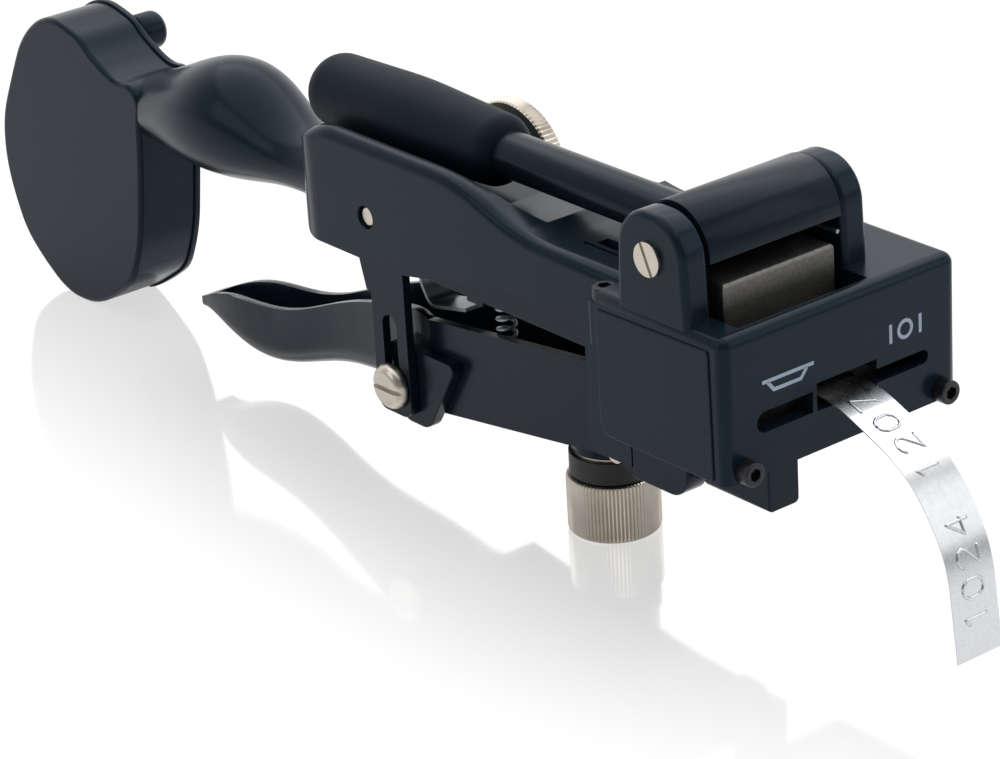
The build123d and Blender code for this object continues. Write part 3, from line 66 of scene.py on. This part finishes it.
# A Mix node lists its colour sockets after those for numbers and vectors.
MIX_COLOUR_A = 6
MIX_COLOUR_B = 7
MIX_COLOUR_OUT = 2


def linear(hex_colour):
    """sRGB hex to the linear colour that shader sockets take."""
    channels = [int(hex_colour[i:i + 2], 16) / 255 for i in (1, 3, 5)]
    straight = [c / 12.92 if c <= 0.04045 else ((c + 0.055) / 1.055) ** 2.4 for c in channels]
    return (*straight, 1.0)


def add(tree, kind, settings=None, values=None, links=None):
    """One shader node with its settings, socket values and incoming links."""
    made = tree.nodes.new(kind)
    for key, value in (settings or {}).items():
        setattr(made, key, value)
    for key, value in (values or {}).items():
        made.inputs[key].default_value = value
    for key, source in (links or {}).items():
        tree.links.new(source, made.inputs[key])
    return made


def grain_size(millimetres):
    """Noise scale for a pattern of that size, because coordinates are in metres."""
    return 1.0 / (millimetres * MM)


def surface(name, colours, patch_mm, rough, rough_mm, bump_mm, bump_height_mm, stretch=(1, 1, 1), **shader):
    """Material with colour patches, uneven gloss and a fine relief, all from noise."""
    mat = bpy.data.materials.new(name)
    mat.use_nodes = True
    tree = mat.node_tree
    tree.nodes.clear()
    where = add(tree, "ShaderNodeTexCoord").outputs["Object"]
    drawn = add(tree, "ShaderNodeMapping", values={"Scale": stretch},
                links={"Vector": where}).outputs["Vector"]
    patches = add(tree, "ShaderNodeTexNoise", values={"Scale": grain_size(patch_mm), "Detail": 4.0},
                  links={"Vector": drawn})
    tint = add(tree, "ShaderNodeMix", settings={"data_type": "RGBA"},
               values={MIX_COLOUR_A: linear(colours[0]), MIX_COLOUR_B: linear(colours[1])},
               links={"Factor": patches.outputs["Fac"]})
    sheen = add(tree, "ShaderNodeTexNoise", values={"Scale": grain_size(rough_mm), "Detail": 3.0},
                links={"Vector": drawn})
    gloss = add(tree, "ShaderNodeMapRange", values={"To Min": rough[0], "To Max": rough[1]},
                links={"Value": sheen.outputs["Fac"]})
    relief = add(tree, "ShaderNodeTexNoise", values={"Scale": grain_size(bump_mm), "Detail": 2.0},
                 links={"Vector": drawn})
    bump = add(tree, "ShaderNodeBump", values={"Strength": 1.0, "Distance": bump_height_mm * MM},
               links={"Height": relief.outputs["Fac"]})
    coat = add(tree, "ShaderNodeBsdfPrincipled", values=shader,
               links={"Base Color": tint.outputs[MIX_COLOUR_OUT], "Roughness": gloss.outputs["Result"],
                      "Normal": bump.outputs["Normal"]})
    add(tree, "ShaderNodeOutputMaterial", links={"Surface": coat.outputs["BSDF"]})
    return mat


# The paint and the sleeve mirror the studio a little bluer than it is.
BLUE_SHEEN = linear("#b8cde6")

materials = {
    # Sprayed and baked: a soft orange-peel skin that blurs reflections a little.
    "enamel": surface(
        "stove enamel sprayed on die-cast alloy", ("#0f1a22", "#15212b"),
        patch_mm=30, rough=(0.19, 0.26), rough_mm=9, bump_mm=0.9, bump_height_mm=0.003,
        **{"Specular IOR Level": 0.21, "Specular Tint": BLUE_SHEEN}),
    # Dipped pressings: thinner paint, so the edges read crisper.
    "lever_enamel": surface(
        "enamel dipped on steel pressings", ("#0b141b", "#111b23"),
        patch_mm=24, rough=(0.20, 0.28), rough_mm=7, bump_mm=0.7, bump_height_mm=0.002,
        **{"Specular IOR Level": 0.23, "Specular Tint": BLUE_SHEEN}),
    # Moulded sleeve: matt, with a grain that kills sharp highlights.
    "rubber": surface(
        "moulded soft rubber sleeve", ("#0b141b", "#101920"),
        patch_mm=18, rough=(0.48, 0.58), rough_mm=4, bump_mm=0.35, bump_height_mm=0.010,
        **{"Specular IOR Level": 0.16, "Specular Tint": BLUE_SHEEN}),
    # Turned, then plated: warm grey metal with a faint satin.
    "nickel": surface(
        "satin nickel plate on turned brass", ("#bdb5a9", "#d6cec2"),
        patch_mm=4, rough=(0.24, 0.36), rough_mm=1.2, bump_mm=0.25, bump_height_mm=0.003,
        Metallic=1.0),
    # Ground block: a mottled grey face without polish.
    "tool_steel": surface(
        "ground tool steel", ("#5e5d5b", "#92908c"),
        patch_mm=0.9, rough=(0.40, 0.55), rough_mm=0.8, bump_mm=0.35, bump_height_mm=0.008,
        Metallic=1.0),
    # Drawn wire and strip: grey and even, its long soft highlights follow the bends.
    "spring_steel": surface(
        "bright drawn spring steel", ("#8f949b", "#a6abb2"),
        patch_mm=3, rough=(0.34, 0.42), rough_mm=0.8, bump_mm=0.6, bump_height_mm=0.0006,
        Metallic=1.0),
    # Chemical black: grey-black, dull, a little oily.
    "oxide": surface(
        "black oxide on steel screws", ("#2a2b2e", "#414246"),
        patch_mm=1.5, rough=(0.34, 0.46), rough_mm=1.0, bump_mm=0.3, bump_height_mm=0.003,
        Metallic=0.8),
    # Injection moulded: plain dark parts with an even spark-eroded skin.
    "black_plastic": surface(
        "spark-eroded moulded plastic", ("#0f1013", "#15171b"),
        patch_mm=10, rough=(0.42, 0.5), rough_mm=2, bump_mm=0.4, bump_height_mm=0.006,
        **{"Specular IOR Level": 0.45}),
    # Rolled foil: bright, with long lines that run the way it was rolled.
    "tape": surface(
        "rolled aluminium tape", ("#d0d3d7", "#e2e4e7"),
        patch_mm=1.2, rough=(0.20, 0.32), rough_mm=0.8, bump_mm=0.5, bump_height_mm=0.0015,
        stretch=(0.06, 1, 1), Metallic=1.0),
}
# Printed marks: thin pale ink that sits flat on the enamel.
mark_ink = surface(
    "pale ink pad-printed on enamel", ("#93a3b6", "#a9b8c9"),
    patch_mm=2, rough=(0.5, 0.6), rough_mm=1, bump_mm=0.3, bump_height_mm=0.003)


def dress(obj, slot_name):
    obj.data.materials.clear()
    obj.data.materials.append(materials[slot_name])


for node_name, obj in nodes.items():
    dress(obj, slot_of[node_name])


# Edges: real castings and pressings have no knife edges, so a small round is added.

EDGE_ROUND_MM = {
    "head_cover": 0.35, "body_cover": 0.45, "head_foot": 0.4, "trigger_lever": 0.35, "stop_bracket": 0.25,
    "stop_lug": 0.4, "ram": 0.3, "lever_hub": 0.4, "magazine_lid": 0.35, "frame_plate_near": 0.25,
    "frame_plate_far": 0.25, "lid_post": 0.2, "stop_screw": 0.15, "hinge_pin": 0.12, "knob_collar": 0.2,
    "front_cap_screws": 0.12, "rear_cap_screws": 0.12, "wheel_upper_disc": 0.15, "base_plate": 0.2,
    "die_block": 0.2, "anvil": 0.2, "wheel_carrier": 0.2, "lever_rod": 0.3, "feed_axle": 0.15,
}
EDGE_ANGLE = math.radians(32)
EDGE_STEPS = 3
FLAT_ANGLE = math.radians(0.3)
SEAM_MM = 0.002


def round_edges(obj, radius):
    """Rounds every edge that is sharper than EDGE_ANGLE. Radius in mm."""
    bevel = obj.modifiers.new("edge_round", "BEVEL")
    bevel.width = radius * MM
    bevel.segments = EDGE_STEPS
    bevel.limit_method = "ANGLE"
    bevel.angle_limit = EDGE_ANGLE
    bevel.harden_normals = True


for node_name, radius in EDGE_ROUND_MM.items():
    obj = nodes[node_name]
    weld = obj.modifiers.new("join_seams", "WELD")
    weld.merge_threshold = SEAM_MM * MM
    flats = obj.modifiers.new("merge_flats", "DECIMATE")
    flats.decimate_type = "DISSOLVE"
    flats.angle_limit = FLAT_ANGLE
    round_edges(obj, radius)


# Mesh helpers

def mesh_object(name, vertices, faces, slot_name, body, smooth=True):
    """Piece from its points and faces, dressed and riding on a body. No slot means printed ink."""
    data = bpy.data.meshes.new(name)
    data.from_pydata([tuple(v) for v in vertices], [], faces)
    data.update()
    made = bmesh.new()
    made.from_mesh(data)
    bmesh.ops.recalc_face_normals(made, faces=made.faces)
    made.to_mesh(data)
    made.free()
    for polygon in data.polygons:
        polygon.use_smooth = smooth
    obj = bpy.data.objects.new(name, data)
    bpy.context.scene.collection.objects.link(obj)
    if slot_name is None:
        data.materials.append(mark_ink)
    else:
        dress(obj, slot_name)
    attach(obj, body)
    return obj


def keep_sharp(obj, limit):
    """Marks edges above that angle sharp, so that flats stay flat."""
    made = bmesh.new()
    made.from_mesh(obj.data)
    for edge in made.edges:
        if len(edge.link_faces) == 2 and edge.calc_face_angle(0) > limit:
            edge.smooth = False
    made.to_mesh(obj.data)
    made.free()


# Share of the groove's depth at each step round one tooth
GROOVE_SHAPE = (1.0, 0.45, 0.0, 0.45)
KNURL_SHARP = math.radians(28)


def knurled_wheel(name, centre, axis, rows, teeth, slot_name, body):
    """Turned part with straight knurling. rows: (radius mm, height mm, groove depth mm)."""
    steps = teeth * len(GROOVE_SHAPE)
    turn = Vector((0, 0, 1)).rotation_difference(Vector(axis)).to_matrix()
    vertices = []
    for radius, height, depth in rows:
        for step in range(steps):
            angle = 2 * math.pi * step / steps
            reach = radius - depth * GROOVE_SHAPE[step % len(GROOVE_SHAPE)]
            spot = Vector((reach * math.cos(angle), reach * math.sin(angle), height))
            vertices.append(centre + turn @ spot * MM)
    faces = []
    for row in range(len(rows) - 1):
        for step in range(steps):
            a = row * steps + step
            b = row * steps + (step + 1) % steps
            faces.append((a, b, b + steps, a + steps))
    faces.append(tuple(range(steps)))
    faces.append(tuple(range((len(rows) - 1) * steps, len(rows) * steps)))
    obj = mesh_object(name, vertices, faces, slot_name, body)
    keep_sharp(obj, KNURL_SHARP)
    return obj


# Lower knob: straight knurl, a chamfer at both ends and a dished top round the collar

KNOB_TEETH = 72
KNOB_FOOT = at(-73.0, 1.75, -44.0)
knob_rows = [
    (3.05, 4.0, 0), (3.05, 10.0, 0), (7.9, 10.0, 0), (7.9, 12.9, 0), (8.3, 13.0, 0), (9.2, 13.0, 0),
    (9.75, 12.75, 0.3), (10.0, 12.2, 0.42), (10.0, 0.9, 0.42), (9.8, 0.35, 0.3), (9.2, 0.0, 0),
    (6.0, 0.0, 0), (5.6, 0.5, 0), (0.6, 0.5, 0),
]
depth_knob = knurled_wheel(
    "depth_knob_knurled", KNOB_FOOT, (0, 0, 1), knob_rows, KNOB_TEETH, "nickel", "knob")
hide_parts("depth_knob")

# Feed knob: the same knurl on a thin disc, with a turned ring on its outer face

FEED_TEETH = 84
FEED_INNER_FACE = at(-120.0, 16.3, 20.6)
feed_rows = [
    (2.05, 0.0, 0), (9.5, 0.0, 0), (14.4, 0.0, 0), (14.85, 0.3, 0.3), (15.0, 0.7, 0.4), (15.0, 3.1, 0.4),
    (14.85, 3.5, 0.3), (14.4, 3.8, 0), (12.2, 3.8, 0), (11.8, 3.4, 0), (4.2, 3.4, 0), (3.8, 3.8, 0),
    (0.5, 3.8, 0),
]
feed_knob = knurled_wheel(
    "feed_knob_knurled", FEED_INNER_FACE, (0, 1, 0), feed_rows, FEED_TEETH, "nickel", "feed")
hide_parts("feed_knob")


# In the tool the springs shorten between their seats as the ram goes down and the trigger comes up; here
# each is a copy with its own mesh that rides on the frame

def live_spring(node_name, body):
    """Copy of a spring with a mesh of its own that stays on its seat, riding on a body in place of the
    hidden original.
    """
    rest = nodes[node_name]
    obj = bpy.data.objects.new(node_name + "_live", rest.data.copy())
    obj.matrix_world = rest.matrix_world.copy()
    bpy.context.scene.collection.objects.link(obj)
    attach(obj, body)
    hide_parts(node_name)
    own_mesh(obj)


live_spring("ram_springs", "frame")
live_spring("return_spring", "frame")


# Cover panel: the near side of the head stands a little proud of the plate round it

PANEL_Y = -31.0
PANEL_PROUD = 0.4
PANEL_SUNK = 0.1
PANEL_EDGE_ROUND = 0.3
# Corners (x, z) and the radius of each, in mm
PANEL_CORNERS = [((-36.2, 26.7), 0.5), ((-36.2, 0.25), 3.0), ((-3.4, 0.25), 1.0), ((-3.9, 27.4), 0.8)]
CORNER_STEPS = 6


def rounded_outline(corners):
    """Closed outline through the corners, each cut by an arc of its radius."""
    outline = []
    count = len(corners)
    for index, (spot, radius) in enumerate(corners):
        corner = Vector(spot)
        to_last = (Vector(corners[index - 1][0]) - corner).normalized()
        to_next = (Vector(corners[(index + 1) % count][0]) - corner).normalized()
        half = to_last.angle(to_next) / 2
        cut = radius / math.tan(half)
        centre = corner + (to_last + to_next).normalized() * radius / math.sin(half)
        first = (corner + to_last * cut - centre).normalized()
        last = (corner + to_next * cut - centre).normalized()
        for step in range(CORNER_STEPS + 1):
            outline.append(centre + first.slerp(last, step / CORNER_STEPS) * radius)
    return outline


def cover_panel():
    outline = rounded_outline(PANEL_CORNERS)
    count = len(outline)
    vertices = []
    for y in (PANEL_Y + PANEL_SUNK, PANEL_Y - PANEL_PROUD):
        vertices += [at(spot.x, y, spot.y) for spot in outline]
    faces = [tuple(range(count)), tuple(range(count, 2 * count))]
    for a in range(count):
        b = (a + 1) % count
        faces.append((a, b, b + count, a + count))
    panel = mesh_object("head_side_panel", vertices, faces, "enamel", "frame")
    round_edges(panel, PANEL_EDGE_ROUND)


cover_panel()


# Printed marks on the head: a cut-tab sign and a punched-hole sign

INK_HEIGHT = 0.05
INK_STROKE = 0.75
SHARPEST_MITRE = 0.5


def ink_line(name, points, closed=False):
    """Flat ink stroke on the front face through (y, z) points in mm."""
    count = len(points)
    vertices = []
    for index, (y, z) in enumerate(points):
        before = points[index - 1] if index or closed else points[0]
        after = points[(index + 1) % count] if index + 1 < count or closed else points[-1]
        first = Vector((y - before[0], z - before[1]))
        second = Vector((after[0] - y, after[1] - z))
        if first.length == 0:
            first = second
        if second.length == 0:
            second = first
        along = (first.normalized() + second.normalized()).normalized()
        across = Vector((-along.y, along.x)) * INK_STROKE / 2
        across /= max(SHARPEST_MITRE, along.dot(second.normalized()))
        for height in (-INK_HEIGHT, INK_HEIGHT):
            for side in (-1, 1):
                vertices.append(at(height, y + side * across.x, z + side * across.y))
    faces = []
    last = count if closed else count - 1
    for index in range(last):
        a = index * 4
        b = (index + 1) % count * 4
        faces += [
            (a, a + 1, b + 1, b), (a + 2, b + 2, b + 3, a + 3),
            (a, b, b + 2, a + 2), (a + 1, a + 3, b + 3, b + 1),
        ]
    if not closed:
        faces += [(0, 2, 3, 1), (4 * count - 4, 4 * count - 3, 4 * count - 1, 4 * count - 2)]
    mesh_object(name, vertices, faces, None, "frame", smooth=False)


ink_line("tab_sign_bar", [(-21.2, 18.9), (-7.8, 18.9)])
ink_line("tab_sign_tray", [(-19.8, 18.6), (-18.2, 16.7), (-11.2, 16.7), (-9.6, 18.6)])
ink_line("hole_sign_left", [(12.7, 16.3), (12.7, 20.3)])
ink_line("hole_sign_right", [(20.7, 16.3), (20.7, 20.3)])
RING_MIDDLE = (16.6, 18.3)
RING_RADIUS = 1.75
RING_STEPS = 40
ring = []
for step in range(RING_STEPS):
    angle = 2 * math.pi * step / RING_STEPS
    ring.append((RING_MIDDLE[0] + RING_RADIUS * math.cos(angle),
                 RING_MIDDLE[1] + RING_RADIUS * math.sin(angle)))
ink_line("hole_sign_ring", ring, closed=True)


# Embossed figures on the hanging tape

TAPE_Y = 1.75
TAPE_THICK = 0.25
TAPE_POINTS = [(-100.0, 9.7), (1.0, 9.7), (21.5, 1.2), (31.5, -13.5), (34.25, -35.0)]
TAPE_BENDS = [25.0, 30.0, 30.0]
TAPE_STEP = 0.25


def tape_path():
    """Points (x, z) down the tape's lower side at equal steps, from its start to its cut end."""
    pieces = []
    start = Vector(TAPE_POINTS[0])
    for index, radius in enumerate(TAPE_BENDS):
        corner = Vector(TAPE_POINTS[index + 1])
        inward = (corner - Vector(TAPE_POINTS[index])).normalized()
        outward = (Vector(TAPE_POINTS[index + 2]) - corner).normalized()
        bend = inward.angle(outward)
        cut = radius * math.tan(bend / 2)
        first = corner - inward * cut
        pieces.append(("line", start, first))
        centre = first + Vector((inward.y, -inward.x)) * radius
        pieces.append(("arc", centre, first, bend))
        start = corner + outward * cut
    pieces.append(("line", start, Vector(TAPE_POINTS[-1])))
    dense = []
    for piece in pieces:
        if piece[0] == "line":
            run = (piece[2] - piece[1]).length
            count = max(2, int(run / TAPE_STEP))
            dense += [piece[1].lerp(piece[2], i / count) for i in range(count)]
        else:
            arm = piece[2] - piece[1]
            count = max(2, int(arm.length * piece[3] / TAPE_STEP))
            for i in range(count):
                turn = -piece[3] * i / count
                swung = Vector((arm.x * math.cos(turn) - arm.y * math.sin(turn),
                                arm.x * math.sin(turn) + arm.y * math.cos(turn)))
                dense.append(piece[1] + swung)
    dense.append(Vector(TAPE_POINTS[-1]))
    return dense


path = tape_path()
reach = [0.0]
for a, b in zip(path, path[1:]):
    reach.append(reach[-1] + (b - a).length)
TAPE_LENGTH = reach[-1]


def on_tape(distance, y, lift):
    """Point of the tape at that distance from its cut end, lifted off its upper face."""
    goal = TAPE_LENGTH - distance
    low, high = 0, len(reach) - 1
    while high - low > 1:
        middle = (low + high) // 2
        if reach[middle] <= goal:
            low = middle
        else:
            high = middle
    share = (goal - reach[low]) / max(1e-9, reach[high] - reach[low])
    spot = path[low].lerp(path[high], share)
    along = (path[high] - path[low]).normalized()
    normal = Vector((-along.y, along.x))
    spot = spot + normal * (TAPE_THICK + lift)
    return at(spot.x, y, spot.y)


FIGURE_ROW = "1024 1207"
FIRST_FIGURE = 6.0
FIGURE_PITCH = 6.2
FIGURE_HEIGHT = 5.6
FIGURE_STROKE = 0.75
FIGURE_LIFT = 0.32
# Each figure is one stroke on a grid 4 wide and 6 high.
GRID_ROWS = 6
FIGURES = {
    "0": [(2, 6), (3.2, 5.6), (4, 4.4), (4, 1.6), (3.2, 0.4), (2, 0), (0.8, 0.4), (0, 1.6), (0, 4.4),
          (0.8, 5.6), (2, 6)],
    "1": [(0.8, 4.8), (2.2, 6), (2.2, 0)],
    "2": [(0, 4.8), (0.8, 5.7), (2, 6), (3.3, 5.6), (4, 4.5), (3.6, 3.3), (0, 0), (4, 0)],
    "4": [(3, 0), (3, 6), (0, 2), (4, 2)],
    "7": [(0, 6), (4, 6), (1.4, 0)],
}
# Cross-section of a ridge: shares of half its width and of its lift
RIDGE_PROFILE = [(-1.0, -0.05), (-0.72, 0.55), (-0.3, 0.95), (0.3, 0.95), (0.72, 0.55), (1.0, -0.05)]
RIDGE_STEP = 0.4
RIDGE_END_SHARE = 0.55


def raised_stroke(points, name):
    """Rounded ridge pressed up out of the tape along (distance, y) points in mm."""
    dense = []
    for a, b in zip(points, points[1:]):
        a, b = Vector(a), Vector(b)
        count = max(1, int((b - a).length / RIDGE_STEP))
        dense += [a.lerp(b, i / count) for i in range(count)]
    dense.append(Vector(points[-1]))
    vertices = []
    for index, spot in enumerate(dense):
        before = dense[max(0, index - 1)]
        after = dense[min(len(dense) - 1, index + 1)]
        along = (after - before).normalized()
        across = Vector((-along.y, along.x))
        share = RIDGE_END_SHARE if index in (0, len(dense) - 1) else 1.0
        for offset, height in RIDGE_PROFILE:
            q = spot + across * offset * FIGURE_STROKE / 2
            vertices.append(on_tape(q.x, q.y, height * FIGURE_LIFT * share))
    faces = []
    width = len(RIDGE_PROFILE)
    for index in range(len(dense) - 1):
        row = index * width
        for k in range(width - 1):
            a = row + k
            faces.append((a, a + 1, a + 1 + width, a + width))
        faces.append((row, row + width, row + 2 * width - 1, row + width - 1))
    faces.append(tuple(range(width)))
    faces.append(tuple(range((len(dense) - 1) * width, len(dense) * width)))
    mesh_object(name, vertices, faces, "tape", "frame")


for place, figure in enumerate(FIGURE_ROW):
    if figure == " ":
        continue
    grid = FIGURE_HEIGHT / GRID_ROWS
    begin = FIRST_FIGURE + place * FIGURE_PITCH
    spots = [(begin + x * grid, TAPE_Y + FIGURE_HEIGHT / 2 - z * grid) for x, z in FIGURES[figure]]
    raised_stroke(spots, f"figure_{place}_0")


# Studio: a white sheet, a large soft light overhead and a bright wall behind

SHEET_HALF = 6.0
SHEET_COLOUR = "#e2e2e2"
SHEET_GLOW = 1.12
SHEET_ROUGH = (0.05, 0.09)
HAZE_MM = 60
# Share of the glow that the camera sees, and how much of that share metal mirrors
GLOW_SHARE = 0.8
MIRRORED_SHARE = 0.5
# The sheet's own mirror image fades to the front and to both ends: axis, start and end
# in metres, and the share of mirror at each.
SHEET_FADES = [("Y", -0.085, 0.0, 0.012, 0.37), ("X", -0.14, 0.0, 0.7, 1.0), ("X", 0.07, 0.16, 1.0, 0.45)]


def studio_floor():
    """Polished sheet that is white to the camera, mirrors the tool and keeps its shadow."""
    # Polished sheet: a clear mirror image close to the tool and a faint haze in it.
    mat = bpy.data.materials.new("polished white acrylic sheet lit from below")
    mat.use_nodes = True
    tree = mat.node_tree
    tree.nodes.clear()
    where = add(tree, "ShaderNodeTexCoord").outputs["Object"]
    haze = add(tree, "ShaderNodeTexNoise", values={"Scale": grain_size(HAZE_MM), "Detail": 3.0},
               links={"Vector": where})
    gloss = add(tree, "ShaderNodeMapRange", values={"To Min": SHEET_ROUGH[0], "To Max": SHEET_ROUGH[1]},
                links={"Value": haze.outputs["Fac"]})
    place = add(tree, "ShaderNodeSeparateXYZ", links={"Vector": where})
    polish = None
    for axis, start, end, low, high in SHEET_FADES:
        share = add(tree, "ShaderNodeMapRange", settings={"interpolation_type": "SMOOTHSTEP"},
                    values={"From Min": start, "From Max": end, "To Min": low, "To Max": high},
                    links={"Value": place.outputs[axis]}).outputs["Result"]
        if polish is None:
            polish = share
        else:
            polish = add(tree, "ShaderNodeMath", settings={"operation": "MULTIPLY"},
                         links={0: polish, 1: share}).outputs[0]
    ray = add(tree, "ShaderNodeLightPath")
    mirrored = add(tree, "ShaderNodeMath", settings={"operation": "MAXIMUM"},
                   links={0: ray.outputs["Is Glossy Ray"], 1: ray.outputs["Is Transmission Ray"]})
    dimmed = add(tree, "ShaderNodeMath", settings={"operation": "MULTIPLY"}, values={1: MIRRORED_SHARE},
                 links={0: mirrored.outputs[0]})
    looked_at = add(tree, "ShaderNodeMath", settings={"operation": "MAXIMUM"},
                    links={0: ray.outputs["Is Camera Ray"], 1: dimmed.outputs[0]})
    lit = add(tree, "ShaderNodeMath", settings={"operation": "MULTIPLY"}, values={1: GLOW_SHARE},
              links={0: looked_at.outputs[0]})
    matt = add(tree, "ShaderNodeBsdfDiffuse", values={"Color": linear(SHEET_COLOUR)})
    glow = add(tree, "ShaderNodeEmission", values={"Color": linear("#ffffff"), "Strength": SHEET_GLOW})
    shine = add(tree, "ShaderNodeBsdfGlossy", values={"Color": linear("#ffffff")},
                links={"Roughness": gloss.outputs["Result"]})
    sheet = add(tree, "ShaderNodeMixShader",
                links={"Fac": lit.outputs[0], 1: matt.outputs["BSDF"], 2: glow.outputs["Emission"]})
    both = add(tree, "ShaderNodeMixShader",
               links={"Fac": polish, 1: sheet.outputs["Shader"], 2: shine.outputs["BSDF"]})
    add(tree, "ShaderNodeOutputMaterial", links={"Surface": both.outputs["Shader"]})
    data = bpy.data.meshes.new("floor_sheet")
    corners = [(x * SHEET_HALF, y * SHEET_HALF, 0) for x, y in ((-1, -1), (1, -1), (1, 1), (-1, 1))]
    data.from_pydata(corners, [], [(0, 1, 2, 3)])
    data.materials.append(mat)
    floor = bpy.data.objects.new("floor_sheet", data)
    bpy.context.scene.collection.objects.link(floor)


def soft_box(name, spot, target, width, height, watts):
    """Rectangular lamp that faces a target. Sizes in metres."""
    lamp = bpy.data.lights.new(name, "AREA")
    lamp.shape = "RECTANGLE"
    lamp.size = width
    lamp.size_y = height
    lamp.energy = watts
    obj = bpy.data.objects.new(name, lamp)
    obj.location = spot
    obj.rotation_euler = (Vector(target) - Vector(spot)).to_track_quat("-Z", "Y").to_euler()
    bpy.context.scene.collection.objects.link(obj)


# Where the wall's brightness rises, as the cosine to the way it lies, and its two levels
WALL_RISE = (-0.3, 0.75)
WALL_LEVEL = (0.22, 1.12)


def studio_world(away):
    """White to the camera; as light, bright behind the tool and dim on the camera's side."""
    world = bpy.data.worlds.new("studio")
    bpy.context.scene.world = world
    world.use_nodes = True
    tree = world.node_tree
    tree.nodes.clear()
    ray = add(tree, "ShaderNodeLightPath")
    direction = add(tree, "ShaderNodeTexCoord").outputs["Generated"]
    facing = add(tree, "ShaderNodeVectorMath", settings={"operation": "DOT_PRODUCT"}, values={1: away},
                 links={0: direction})
    wall = add(tree, "ShaderNodeMapRange", settings={"interpolation_type": "SMOOTHSTEP"},
               values={"From Min": WALL_RISE[0], "From Max": WALL_RISE[1],
                       "To Min": WALL_LEVEL[0], "To Max": WALL_LEVEL[1]},
               links={"Value": facing.outputs["Value"]})
    seen = add(tree, "ShaderNodeMix", settings={"data_type": "FLOAT"}, values={"B": 1.0},
               links={"Factor": ray.outputs["Is Camera Ray"], "A": wall.outputs["Result"]})
    light = add(tree, "ShaderNodeBackground", values={"Color": (1, 1, 1, 1)},
                links={"Strength": seen.outputs["Result"]})
    add(tree, "ShaderNodeOutputWorld", links={"Surface": light.outputs["Background"]})


CAMERA_AZIMUTH = math.radians(52.017)
CAMERA_HEIGHT = math.radians(23.942)
CAMERA_ROLL = math.radians(-3.4)
CAMERA_SPOT = at(513.416, -484.798, 329.278)
CAMERA_LENS = 144.0
CAMERA_SENSOR = 36.0
CAMERA_NEAREST = 0.01


def photo_camera():
    """Camera where the photographer stood: a long lens from the front right, a little above."""
    back = Vector((math.sin(CAMERA_AZIMUTH) * math.cos(CAMERA_HEIGHT),
                   -math.cos(CAMERA_AZIMUTH) * math.cos(CAMERA_HEIGHT), math.sin(CAMERA_HEIGHT)))
    right = Vector((math.cos(CAMERA_AZIMUTH), math.sin(CAMERA_AZIMUTH), 0))
    up = back.cross(right)
    rolled_right = right * math.cos(CAMERA_ROLL) + up * math.sin(CAMERA_ROLL)
    rolled_up = up * math.cos(CAMERA_ROLL) - right * math.sin(CAMERA_ROLL)
    data = bpy.data.cameras.new("photo_camera")
    data.lens = CAMERA_LENS
    data.sensor_width = CAMERA_SENSOR
    data.clip_start = CAMERA_NEAREST
    obj = bpy.data.objects.new("photo_camera", data)
    turn = Matrix((rolled_right, rolled_up, back)).transposed()
    obj.matrix_world = Matrix.Translation(CAMERA_SPOT) @ turn.to_4x4()
    bpy.context.scene.collection.objects.link(obj)
    bpy.context.scene.camera = obj
    return back


toward_camera = photo_camera()
studio_floor()
studio_world((-toward_camera.x, -toward_camera.y, 0.0))
soft_box("overhead", (-0.1, 0.15, 1.3), (0, 0, 0), width=2.2, height=2.2, watts=19)
soft_box("front_left", (-0.35, -1.3, 0.75), (0, 0, 0.05), width=0.9, height=0.7, watts=2.5)
soft_box("right_edge", (1.1, 0.75, 0.65), (0, 0, 0.05), width=0.8, height=0.9, watts=2.4)

bpy.context.scene.view_settings.view_transform = "Standard"
